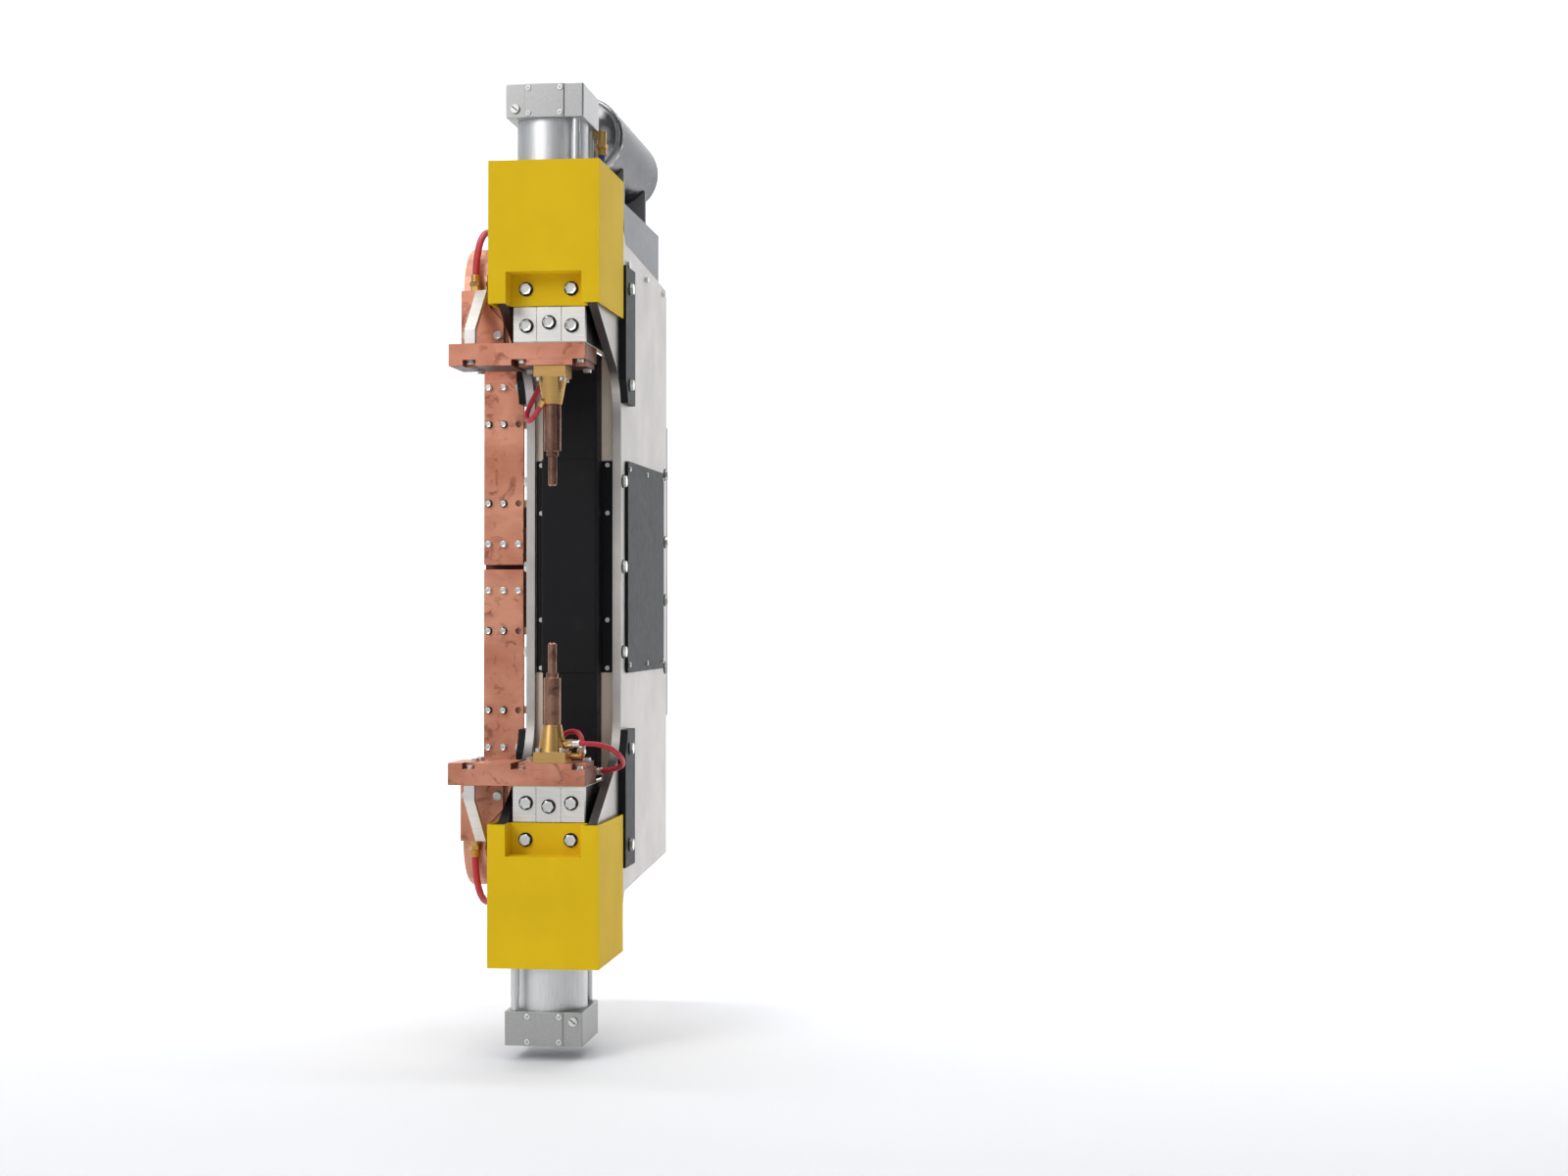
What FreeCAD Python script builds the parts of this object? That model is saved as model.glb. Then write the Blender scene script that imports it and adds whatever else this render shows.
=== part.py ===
# C-frame resistance spot welder with two opposed rams, in millimetres.
# X runs across the machine, +Y points to the back and +Z is up.
# The origin is the centre of the back face of the rear mounting plate, on the mid-plane of the throat.
# Depths are measured backwards from the front of the covers, and heights outwards from the mid-plane.
# Each upper piece is modelled once, and its lower twin is its mirror image in the mid-plane.

import FreeCAD, Part
import math
import os

V = FreeCAD.Vector

# Throat and stroke
TIP_GAP = 280.0
STROKE = 138.0
THROAT_DEPTH = 259.0
REAR_FACE_DEPTH = 780.0
RUNNING_GAP = 0.3
HOLE_CLEARANCE = 0.1

# Electrode, from the tip outwards
ELECTRODE_DEPTH = 77.0
TIP_LENGTH = 54.0
TIP_RADIUS = 8.0
TIP_NOSE = 3.0
COLLAR_LENGTH = 9.0
COLLAR_RADIUS = 11.0
SHAFT_LENGTH = 84.0
SHAFT_RADIUS = 15.5
CONE_LENGTH = 48.0
CONE_TIP_RADIUS = 17.0
CONE_ROOT_RADIUS = 26.0
HOLDER_BASE_WIDTH = 58.0
HOLDER_BASE_DEPTH = 54.0
HOLDER_BASE_HEIGHT = 20.0
HOLDER_SCREW_X = 21.0
HOLDER_SCREW_DEPTH = 19.0
SCALLOP_RADIUS = 7.0

# Copper arm
ARM_FRONT_DEPTH = 47.0
ARM_LENGTH = 105.0
ARM_HEIGHT = 40.0
ARM_LEFT = 184.0
ARM_RIGHT = 65.0
REBATE_HEIGHT = 11.0
REBATE_LEFT = 69.0
NOTCH_CENTRE = 146.0
NOTCH_WIDTH = 23.0
NOTCH_DEPTH = 25.0
PLATE_HALF_WIDTH = 62.0
PLATE_NOSE_HALF_WIDTH = 42.0
PLATE_CORNER_DEPTH = 28.0
PLATE_LENGTH = 98.0
PLATE_BOLT_X = 52.0

# Ram block, slide and guides
INSULATION = 2.0
BLOCK_THICKNESS = 14.0
BLOCK_HEIGHT = 62.0
BLOCK_GROOVE_X = 22.5
BLOCK_GROOVE = 1.6
BLOCK_BOLT_X = 41.0
BLOCK_BOLT_HEIGHT = 28.0
BLOCK_CENTRE_BOLT_HEIGHT = 34.0
FOOT_HEIGHT = 53.0
FOOT_REAR_DEPTH = 240.0
FOOT_NOTCH_HALF_WIDTH = 54.0
COLUMN_FRONT_DEPTH = 150.0
COLUMN_REAR_DEPTH = 215.0
COLUMN_HALF_WIDTH = 40.0
COLUMN_TOP = 690.0
RAIL_FRONT_DEPTH = 172.0
RAIL_WIDTH = 21.0
RAIL_HEIGHT = 12.0
CARRIAGE_WALL = 12.0
CARRIAGE_LENGTH = 80.0
CARRIAGE_LIFT = 11.0
CARRIAGE_SIDE_GAP = 4.0

# Cheeks and the pieces that join them
CHEEK_GAP = 148.0
CHEEK_THICKNESS = 16.0
CHEEK_BOLT_HEIGHT = 160.0
CHEEK_FRONT_DEPTH = 10.0
CHEEK_TOP = 690.0
CHEEK_STEP_DEPTH = 240.0
CHEEK_SLOPE_DEPTH = 300.0
CHEEK_SLOPE_TOP = 610.0
CHEEK_REAR_TOP = 585.0
CHEEK_EDGE_ANGLE = 28.0
CHEEK_OVER_ARM = 4.0
THROAT_FILLET = 100.0
CHEEK_CORNER = 12.0
FRONT_PLATE_THICKNESS = 11.0
FRONT_PLATE_HEIGHT = 98.0
FRONT_PLATE_GAP = 3.0
SEAT_THICKNESS = 15.0
SEAT_BORE = 20.0
ARM_WEB_DEPTH = 245.0
ARM_WEB_THICKNESS = 15.0
ARM_WEB_GAP = 15.0
TOP_WEB_HEIGHT = 545.0
TOP_WEB_THICKNESS = 15.0
STRIP_INNER_X = 51.0
STRIP_FRONT_DEPTH = 269.0
STRIP_THICKNESS = 20.0
STRIP_OVERRUN = 5.0
STIFFENER_THICKNESS = 14.0
STIFFENER_BOTTOM = 305.0
STIFFENER_TOP = 560.0
STIFFENER_FRONT_DEPTH = 235.0
STIFFENER_REAR_DEPTH = 330.0
STIFFENER_BOLT_DEPTH = 276.0
PANEL_THICKNESS = 6.0
PANEL_HALF_HEIGHT = 200.0
PANEL_FRONT_DEPTH = 300.0
PANEL_REAR_DEPTH = 700.0
PANEL_SCREW_INSET = 15.0
PANEL_CORNER = 10.0

# Rear mounting plate
REAR_FLANGE_THICKNESS = 15.0
REAR_TONGUE_THICKNESS = 40.0
REAR_HALF_WIDTH = 90.0
REAR_HALF_HEIGHT = 300.0
MOUNT_HOLE_RADIUS = 8.75
MOUNT_HOLE_X = 50.0
MOUNT_HOLE_Z = 250.0
REAR_BOLT_HEIGHTS = (60.0, 200.0)
STIFFENER_BOLT_INSET = 35.0
STIFFENER_TOP_INSET = 40.0

# Throat housing and its sheet cover
BOX_FRONT_DEPTH = 222.0
BOX_HALF_HEIGHT = 395.0
BOX_EDGE = 4.0
HAT_SHEET = 2.0
HAT_HALF_HEIGHT = 198.0
HAT_FLANGE_END = 73.0
HAT_SCREW_X = 63.0
HAT_SCREW_HEIGHTS = (100.0, 190.0)

# Transformer and copper bus plates on the left
BUS_NEAR_X = 106.0
BUS_WIDTH = 76.0
BUS_FRONT_DEPTH = 301.0
BUS_THICKNESS = 12.0
BUS_INNER = 4.5
BUS_OUTER = 400.0
BUS_BOLT_X = (173.0, 144.0, 115.0)
BUS_FULL_ROWS = (44.0, 341.0)
BUS_BAR_ROWS = (121.0, 271.0)
SPACER_BAR_HEIGHT = 14.0
SPACER_BAR_DEPTH = 20.0
PAD_INNER = 8.0
PAD_OUTER = 75.0
TRANSFORMER_FRONT_DEPTH = 345.0
TRANSFORMER_LENGTH = 295.0
TRANSFORMER_HALF_HEIGHT = 125.0
TRANSFORMER_WIDTH = 100.0
TRANSFORMER_EDGE = 8.0

# Terminal, brace and laminated band
TERMINAL_NEAR_X = 105.0
TERMINAL_FRONT_DEPTH = 137.0
TERMINAL_THICKNESS = 20.0
TERMINAL_HEIGHT = 108.0
TERMINAL_CHAMFER = 26.0
TERMINAL_SHOULDER = 50.0
TERMINAL_BOLT_X = (173.0, 115.0)
TERMINAL_BOLT_LIFT = 25.0
BRACE_CENTRE = 145.0
BRACE_WIDTH = 20.0
BRACE_THICKNESS = 10.0
BRACE_UPRIGHT = 27.0
BRACE_FRONT_DEPTH = 48.0
BAND_THICKNESS = 22.0
BAND_LEAVES = 4
BAND_LEAF_GAP = 0.5
BAND_RADIUS = 89.0
BAND_BEND_HEIGHT = 505.0
BAND_FOOT_HEIGHT = 398.0
BAND_END_HEIGHT = 330.0

# Cylinder
HEAD_SIZE = 140.0
HEAD_HEIGHT = 60.0
CAP_HEIGHT = 40.0
BLOCK_EDGE = 3.0
TUBE_RADIUS = 63.5
TUBE_WALL = 4.0
TUBE_LENGTH = 189.0
PISTON_THICKNESS = 20.0
PISTON_END_GAP = 3.0
ROD_RADIUS = 16.0
SPIGOT_RADIUS = 8.0
SPIGOT_LENGTH = 12.0
HEAD_PLATE_WIDTH = 70.0
HEAD_PLATE_THICKNESS = 3.0
HEAD_SCREW_X = 28.5
HEAD_SCREW_INSET = 8.0
PLUG_X = 53.0
PLUG_LIFT = 16.0
PLUG_RADIUS = 8.0
BOSS_RADIUS = 14.0
BOSS_HEIGHT = 4.0
TRANSFER_X = 54.0
TRANSFER_DEPTH = 20.0
TRANSFER_RADIUS = 8.0
TRANSFER_NECK_RADIUS = 7.0
TRANSFER_NECK_LENGTH = 25.0
TIE_ROD_X = 56.0
TIE_ROD_DEPTH = 134.0
TIE_ROD_RADIUS = 6.0

# Sheet covers
COVER_HALF_WIDTH = 100.0
COVER_SHEET = 3.0
COVER_DEPTH = 230.0
COVER_HEIGHT = 253.0
COVER_GAP = 1.0
POCKET_HALF_WIDTH = 68.0
POCKET_HEIGHT = 56.0
COVER_BOLT_X = 41.0
COVER_BOLT_LIFT = 30.0

# Air tank on the upper arm
TANK_RADIUS = 78.0
TANK_HEIGHT = 823.0
TANK_FRONT_DEPTH = 345.0
TANK_SHELL_LENGTH = 385.0
TANK_DISH = 40.0
TANK_KNUCKLE = 12.0
SUPPORT_THICKNESS = 10.0
SUPPORT_TOP = 700.0
SUPPORT_FRONT_DEPTH = 262.0
SUPPORT_REAR_DEPTH = 760.0
SUPPORT_HOLE_RADIUS = 45.0
SUPPORT_HOLE_DEPTH = 330.0
SUPPORT_HOLE_HEIGHT = 645.0
SUPPORT_SCREW_DEPTHS = (320.0, 520.0, 720.0)
SUPPORT_SCREW_LIFT = 13.0
SADDLE_DEPTHS = (420.0, 655.0)
SADDLE_THICKNESS = 12.0
SADDLE_BOTTOM = 600.0
SADDLE_WRAP = 48.0
DRAIN_DEPTH = 500.0
DRAIN_SIZE = 20.0
DRAIN_TUBE_RADIUS = 3.0
DRAIN_TUBE_LENGTH = 34.0

# Fittings
WATER_HOSE_RADIUS = 6.5
WATER_HOSE_X = (159.0, 129.0)
FITTING_LENGTH = 17.0
FITTING_HEX = 17.0
FITTING_HEX_LENGTH = 9.0
MANIFOLD_FRONT_DEPTH = 337.0
MANIFOLD_SIZE = 24.0
MANIFOLD_HEIGHT = 429.0
ELECTRODE_HOSE_RADIUS = 4.75
AIR_HOSE_RADIUS = 6.5
AIR_HOSE_X = 77.0
AIR_HOSE_DEPTH = 138.0
AIR_ELBOW_SIZE = 14.0
AIR_ELBOW_NEAR_X = 64.0
AIR_ELBOW_RADIUS = 8.0
COOLING_ELBOW_RADIUS = 6.5
COOLING_ELBOW_LENGTH = 15.0
COOLING_NIPPLE_LENGTH = 20.0
COOLING_LEG_OVERLAP = 2.0

# Bolts, as shank radius, width across flats and head height
M12 = (6.0, 18.5, 7.5)
M8 = (4.0, 13.0, 6.0)
CAP_SCREW_RADIUS = 5.0
CAP_SCREW_HEIGHT = 7.0
BUTTON_RADIUS = 4.5
BUTTON_HEIGHT = 3.0

# Heights along the electrode and the cylinder, each built on the one before
TIP_END = TIP_GAP / 2
COLLAR_START = TIP_END + TIP_LENGTH
SHAFT_START = COLLAR_START + COLLAR_LENGTH
CONE_START = SHAFT_START + SHAFT_LENGTH
BASE_START = CONE_START + CONE_LENGTH
ARM_START = BASE_START + HOLDER_BASE_HEIGHT
ARM_END = ARM_START + ARM_HEIGHT
RAM_START = ARM_END + INSULATION
RAM_END = RAM_START + BLOCK_HEIGHT
FOOT_END = RAM_START + FOOT_HEIGHT
COVER_START = RAM_END + COVER_GAP
FRONT_PLATE_START = RAM_END + FRONT_PLATE_GAP
CAP_START = FRONT_PLATE_START + FRONT_PLATE_HEIGHT
TUBE_START = CAP_START + CAP_HEIGHT
HEAD_START = TUBE_START + TUBE_LENGTH
HEAD_END = HEAD_START + HEAD_HEIGHT

# Faces that several pieces share
CHEEK_INNER_X = CHEEK_GAP / 2
CHEEK_REAR_DEPTH = REAR_FACE_DEPTH - REAR_FLANGE_THICKNESS
ARM_WEB_BOTTOM = BOX_HALF_HEIGHT + ARM_WEB_GAP
STRIP_HALF_HEIGHT = BOX_HALF_HEIGHT + STRIP_OVERRUN
CHEEK_OUTER_X = CHEEK_INNER_X + CHEEK_THICKNESS
ARM_REAR_DEPTH = ARM_FRONT_DEPTH + ARM_LENGTH
FOOT_FRONT_DEPTH = ARM_FRONT_DEPTH + BLOCK_THICKNESS
POCKET_FLOOR_DEPTH = ARM_FRONT_DEPTH - COVER_SHEET
HEAD_FRONT_DEPTH = ELECTRODE_DEPTH - HEAD_SIZE / 2
HEAD_REAR_DEPTH = ELECTRODE_DEPTH + HEAD_SIZE / 2
BUS_REAR_DEPTH = BUS_FRONT_DEPTH + BUS_THICKNESS
BUS_FAR_X = BUS_NEAR_X + BUS_WIDTH
TERMINAL_REAR_DEPTH = TERMINAL_FRONT_DEPTH + TERMINAL_THICKNESS
TERMINAL_END = ARM_END + TERMINAL_HEIGHT
TUBE_BORE_RADIUS = TUBE_RADIUS - TUBE_WALL
STIFFENER_OUTER_X = CHEEK_OUTER_X + STIFFENER_THICKNESS

# Routes of the hoses, as (x, depth, height) of points chosen by hand
WATER_HOSE_ROUTE = ((147.0, 520.0), (147.0, 582.4), (246.5, 640.0), (346.0, 582.4), (346.0, 470.0))
UPPER_ELECTRODE_ROUTE = ((-22.0, 134.0, 345.0), (-62.0, 124.0, 282.0), (-44.0, 80.0, 248.0), (-20.0, 67.0, 284.0))
LOWER_ELECTRODE_ROUTE = (
    (38.0, 74.0, 321.0),
    (90.0, 76.0, 318.0),
    (124.0, 104.0, 346.0),
    (112.0, 160.0, 372.0),
    (60.0, 172.0, 377.0),
)
LOWER_COOLING_ROUTE = ((4.0, 112.0, 322.0), (12.0, 124.0, 300.0), (50.0, 110.0, 302.0), (50.0, 94.0, 332.0))
AIR_HOSE_ROUTE = (
    (AIR_HOSE_X, AIR_HOSE_DEPTH, 757.0),
    (AIR_HOSE_X, AIR_HOSE_DEPTH, 728.0),
    (60.0, 176.0, 684.0),
    (60.0, 236.0, 650.0),
)


def y_at(depth):
    """Y of a depth behind the front of the covers."""
    return depth - REAR_FACE_DEPTH


def point(x, depth, height):
    return V(x, y_at(depth), height)


def box(x_range, depth_range, height_range):
    """Upright block between two X values, two depths and two heights."""
    x0, x1 = sorted(x_range)
    d0, d1 = sorted(depth_range)
    z0, z1 = sorted(height_range)
    return Part.makeBox(x1 - x0, d1 - d0, z1 - z0, point(x0, d0, z0))


def rounded_wire(corners, place):
    """Closed wire through corners (u, v, radius), where place turns u and v into a point in space."""
    stops = []
    for index, (u, v, radius) in enumerate(corners):
        here = V(u, v, 0)
        before = V(corners[index - 1][0], corners[index - 1][1], 0)
        following = corners[(index + 1) % len(corners)]
        after = V(following[0], following[1], 0)
        back = (before - here).normalize()
        ahead = (after - here).normalize()
        if radius == 0:
            stops.append((here, None, here))
            continue
        half_angle = back.getAngle(ahead) / 2
        reach = radius / math.tan(half_angle)
        middle = here + (back + ahead).normalize() * (radius / math.sin(half_angle) - radius)
        stops.append((here + back * reach, middle, here + ahead * reach))
    edges = []
    for index, (start, middle, end) in enumerate(stops):
        if middle is not None:
            edges.append(Part.Arc(place(start), place(middle), place(end)).toShape())
        next_start = stops[(index + 1) % len(stops)][0]
        edges.append(Part.makeLine(place(end), place(next_start)))
    return Part.Wire(edges)


def prism_x(corners, x0, x1):
    """Plate with an outline of (depth, height, radius) corners, from x0 to x1."""
    wire = rounded_wire(corners, lambda p: point(x0, p.x, p.y))
    return Part.Face(wire).extrude(V(x1 - x0, 0, 0))


def prism_y(corners, depth0, depth1):
    """Plate with an outline of (x, height, radius) corners, from depth0 to depth1."""
    wire = rounded_wire(corners, lambda p: point(p.x, depth0, p.y))
    return Part.Face(wire).extrude(V(0, depth1 - depth0, 0))


def prism_z(corners, z0, z1):
    """Plate with an outline of (x, depth, radius) corners, from height z0 to z1."""
    wire = rounded_wire(corners, lambda p: point(p.x, p.y, z0))
    return Part.Face(wire).extrude(V(0, 0, z1 - z0))


def rounded_rectangle(u_range, v_range, radius):
    return [(u, v, radius) for u, v in zip((u_range[0], u_range[1], u_range[1], u_range[0]),
                                           (v_range[0], v_range[0], v_range[1], v_range[1]))]


def bar(start, toward, length, radius):
    """Round bar from a point, along a direction."""
    return Part.makeCylinder(radius, length, start, toward)


def upright(x, depth, z0, z1, radius):
    return bar(point(x, depth, z0), V(0, 0, 1), z1 - z0, radius)


def hexagon(start, toward, length, across_flats):
    """Hexagonal bar from a point, along a direction."""
    radius = across_flats / math.sqrt(3)
    ring = [V(radius * math.cos(math.radians(60 * n)), radius * math.sin(math.radians(60 * n)), 0) for n in range(7)]
    solid = Part.Face(Part.makePolygon(ring)).extrude(V(0, 0, length))
    solid.Placement = FreeCAD.Placement(start, FreeCAD.Rotation(V(0, 0, 1), toward))
    return solid


def bolt(seat, toward, size, shank_length):
    """Hexagon bolt with its head on the seat. toward points from the seat to the top of the head."""
    shank_radius, across_flats, head_height = size
    head = hexagon(seat, toward, head_height, across_flats)
    return head.fuse(bar(seat, toward * -1, shank_length, shank_radius)).removeSplitter()


def drill(solid, seats, toward, radius, length):
    """Cut a hole from each seat into the solid, against the direction toward."""
    for seat in seats:
        solid = solid.cut(bar(seat + toward, toward * -1, length + 1, radius))
    return solid


def bolt_holes(solid, seats, toward, size, length):
    return drill(solid, seats, toward, size[0] + HOLE_CLEARANCE, length)


def mirrored(solid):
    """The lower twin of an upper piece."""
    return solid.mirror(V(0, 0, 0), V(0, 0, 1))


def both_ends(solids):
    return solids + [mirrored(solid) for solid in solids]


def turned(solid):
    """The piece turned half way round about the Y axis, as the lower cylinder is."""
    copy = solid.copy()
    copy.rotate(V(0, 0, 0), V(0, 1, 0), 180)
    return copy


def both_sides(x_values):
    return [side * x for x in x_values for side in (-1, 1)]


FORWARD = V(0, -1, 0)
INWARD = V(0, 0, -1)


# Seats of the bolts, each used by the bolt and by every hole it passes

def cover_bolt_seats():
    return [point(x, POCKET_FLOOR_DEPTH, COVER_START + COVER_BOLT_LIFT) for x in both_sides([COVER_BOLT_X])]


def block_bolt_seats():
    side = [point(x, ARM_FRONT_DEPTH, RAM_START + BLOCK_BOLT_HEIGHT) for x in both_sides([BLOCK_BOLT_X])]
    return side + [point(0, ARM_FRONT_DEPTH, RAM_START + BLOCK_CENTRE_BOLT_HEIGHT)]


def terminal_bolt_seats():
    return [point(-x, TERMINAL_FRONT_DEPTH, ARM_END + TERMINAL_BOLT_LIFT) for x in TERMINAL_BOLT_X]


def notch_bolt_seat():
    return point(-NOTCH_CENTRE, ARM_FRONT_DEPTH + NOTCH_DEPTH / 2, ARM_START + REBATE_HEIGHT)


def arm_bolt_seats():
    return [point(-NOTCH_CENTRE, ARM_REAR_DEPTH - distance, ARM_START) for distance in (18.0, 55.0)]


def plate_corner_bolt_seats():
    depth = ARM_FRONT_DEPTH + PLATE_CORNER_DEPTH / 2
    return [point(x, depth, ARM_START + REBATE_HEIGHT) for x in both_sides([PLATE_BOLT_X])]


def plate_rear_bolt_seats():
    depth = ARM_FRONT_DEPTH + PLATE_LENGTH - PLATE_CORNER_DEPTH / 2
    return [point(x, depth, ARM_START) for x in both_sides([PLATE_BOLT_X])]


def cheek_bolt_seats(side):
    depth = STRIP_FRONT_DEPTH + STRIP_THICKNESS / 2
    return [point(side * CHEEK_OUTER_X, depth, height) for height in (-CHEEK_BOLT_HEIGHT, 0.0, CHEEK_BOLT_HEIGHT)]


def stiffener_bolt_seats(side):
    heights = (STIFFENER_BOTTOM + STIFFENER_BOLT_INSET, STIFFENER_TOP - STIFFENER_TOP_INSET)
    return [point(side * STIFFENER_OUTER_X, STIFFENER_BOLT_DEPTH, height) for height in heights]


def rear_bolt_seats(side):
    depth = CHEEK_REAR_DEPTH - REAR_TONGUE_THICKNESS / 2
    return [point(side * CHEEK_OUTER_X, depth, sign * height) for height in REAR_BOLT_HEIGHTS for sign in (-1, 1)]


def support_screw_seats(side):
    height = TOP_WEB_HEIGHT + TOP_WEB_THICKNESS + SUPPORT_SCREW_LIFT
    return [point(side * CHEEK_OUTER_X, depth, height) for depth in SUPPORT_SCREW_DEPTHS]


def bus_bolt_seats():
    full = [point(-x, BUS_FRONT_DEPTH, row) for row in BUS_FULL_ROWS for x in BUS_BOLT_X]
    barred = [point(-x, BUS_FRONT_DEPTH, row) for row in BUS_BAR_ROWS for x in BUS_BOLT_X[:2]]
    return full + barred


# Frame

def cheek_outline():
    """Half outline of a cheek, from the throat edge round to the rear edge."""
    slope = math.tan(math.radians(CHEEK_EDGE_ANGLE))

    def edge_height(depth):
        return ARM_END + CHEEK_OVER_ARM + (ARM_REAR_DEPTH - depth) * slope

    return [
        (THROAT_DEPTH, edge_height(THROAT_DEPTH), THROAT_FILLET),
        (CHEEK_FRONT_DEPTH, edge_height(CHEEK_FRONT_DEPTH), CHEEK_CORNER),
        (CHEEK_FRONT_DEPTH, CHEEK_TOP, CHEEK_CORNER),
        (CHEEK_STEP_DEPTH, CHEEK_TOP, CHEEK_CORNER),
        (CHEEK_SLOPE_DEPTH, CHEEK_SLOPE_TOP, CHEEK_CORNER),
        (CHEEK_REAR_DEPTH, CHEEK_REAR_TOP, 0),
    ]


def cheek(side):
    """C-shaped side plate of the frame."""
    upper = cheek_outline()
    lower = [(depth, -height, radius) for depth, height, radius in reversed(upper)]
    plate = prism_x(upper + lower, side * CHEEK_INNER_X, side * CHEEK_OUTER_X)
    outward = V(side, 0, 0)
    plate = bolt_holes(plate, cheek_bolt_seats(side), outward, M12, CHEEK_THICKNESS)
    plate = bolt_holes(plate, rear_bolt_seats(side), outward, M12, CHEEK_THICKNESS)
    stiffened = stiffener_bolt_seats(side)
    stiffened += [V(seat.x, seat.y, -seat.z) for seat in stiffened]
    plate = bolt_holes(plate, stiffened, outward, M12, STIFFENER_THICKNESS + CHEEK_THICKNESS)
    return bolt_holes(plate, support_screw_seats(side), outward, M8, CHEEK_THICKNESS)


def stiffener(side):
    """Black plate outside a cheek, where the arm of the C begins."""
    rectangle = box((side * CHEEK_OUTER_X, side * STIFFENER_OUTER_X), (STIFFENER_FRONT_DEPTH, STIFFENER_REAR_DEPTH),
                    (STIFFENER_BOTTOM, STIFFENER_TOP))
    upper = cheek_outline()
    foot = [(CHEEK_REAR_DEPTH, 0, 0), (THROAT_DEPTH, 0, 0)]
    outline = prism_x(upper + foot, side * CHEEK_OUTER_X, side * STIFFENER_OUTER_X)
    plate = rectangle.common(outline)
    return bolt_holes(plate, stiffener_bolt_seats(side), V(side, 0, 0), M12, STIFFENER_THICKNESS)


def frame_webs():
    """Cross plates between the cheeks: one behind each slide and one along each arm, and the throat strips."""
    across = (-CHEEK_INNER_X, CHEEK_INNER_X)
    arm_web = box(across, (ARM_WEB_DEPTH, ARM_WEB_DEPTH + ARM_WEB_THICKNESS), (ARM_WEB_BOTTOM, CHEEK_TOP))
    top_web = box(across, (ARM_WEB_DEPTH + ARM_WEB_THICKNESS, CHEEK_REAR_DEPTH),
                  (TOP_WEB_HEIGHT, TOP_WEB_HEIGHT + TOP_WEB_THICKNESS))
    strips = []
    for side in (-1, 1):
        strip = box((side * STRIP_INNER_X, side * CHEEK_INNER_X),
                    (STRIP_FRONT_DEPTH, STRIP_FRONT_DEPTH + STRIP_THICKNESS), (-STRIP_HALF_HEIGHT, STRIP_HALF_HEIGHT))
        shank = CHEEK_THICKNESS + STRIP_THICKNESS
        strips.append(bolt_holes(strip, cheek_bolt_seats(side), V(side, 0, 0), M12, shank))
    return both_ends([arm_web, top_web]) + strips


def rear_plate():
    """T-shaped rear plate: a flange to bolt to the carrier and a tongue between the cheeks."""
    flange = box((-REAR_HALF_WIDTH, REAR_HALF_WIDTH), (REAR_FACE_DEPTH - REAR_FLANGE_THICKNESS, REAR_FACE_DEPTH),
                 (-REAR_HALF_HEIGHT, REAR_HALF_HEIGHT))
    tongue = box((-CHEEK_INNER_X, CHEEK_INNER_X), (CHEEK_REAR_DEPTH - REAR_TONGUE_THICKNESS, CHEEK_REAR_DEPTH),
                 (-REAR_HALF_HEIGHT, REAR_HALF_HEIGHT))
    plate = flange.fuse(tongue).removeSplitter()
    corners = [point(x, REAR_FACE_DEPTH, z) for x in both_sides([MOUNT_HOLE_X]) for z in (-MOUNT_HOLE_Z, MOUNT_HOLE_Z)]
    plate = drill(plate, corners, V(0, 1, 0), MOUNT_HOLE_RADIUS, REAR_FLANGE_THICKNESS + REAR_TONGUE_THICKNESS + 1)
    for side in (-1, 1):
        plate = bolt_holes(plate, rear_bolt_seats(side), V(side, 0, 0), M12, CHEEK_THICKNESS + 10.0)
    return plate


def throat_box():
    """Closed black housing that lines the back of the throat."""
    outline = [
        (-STRIP_INNER_X, STRIP_FRONT_DEPTH + STRIP_THICKNESS, 0),
        (STRIP_INNER_X, STRIP_FRONT_DEPTH + STRIP_THICKNESS, 0),
        (STRIP_INNER_X, BOX_FRONT_DEPTH, BOX_EDGE),
        (-STRIP_INNER_X, BOX_FRONT_DEPTH, BOX_EDGE),
    ]
    return prism_z(outline, -BOX_HALF_HEIGHT, BOX_HALF_HEIGHT)


def hat_section(half_width, front_depth, corner):
    """Outline of the sheet cover over the throat housing, in plan."""
    rear = STRIP_FRONT_DEPTH
    return [(-half_width, rear, 0), (half_width, rear, 0), (half_width, front_depth, corner),
            (-half_width, front_depth, corner)]


def throat_cover():
    """Hat-section sheet screwed to the throat strips."""
    outer = prism_z(hat_section(STRIP_INNER_X + HAT_SHEET, BOX_FRONT_DEPTH - HAT_SHEET, BOX_EDGE + HAT_SHEET),
                    -HAT_HALF_HEIGHT, HAT_HALF_HEIGHT)
    flanges = box((-HAT_FLANGE_END, HAT_FLANGE_END), (STRIP_FRONT_DEPTH - HAT_SHEET, STRIP_FRONT_DEPTH),
                  (-HAT_HALF_HEIGHT, HAT_HALF_HEIGHT))
    inner = prism_z(hat_section(STRIP_INNER_X, BOX_FRONT_DEPTH, BOX_EDGE), -HAT_HALF_HEIGHT, HAT_HALF_HEIGHT)
    return outer.fuse(flanges).cut(inner).removeSplitter()


def side_panel():
    """Flat black panel on the right cheek."""
    outline = rounded_rectangle((PANEL_FRONT_DEPTH, PANEL_REAR_DEPTH), (-PANEL_HALF_HEIGHT, PANEL_HALF_HEIGHT),
                                PANEL_CORNER)
    return prism_x(outline, CHEEK_OUTER_X, CHEEK_OUTER_X + PANEL_THICKNESS)


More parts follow.
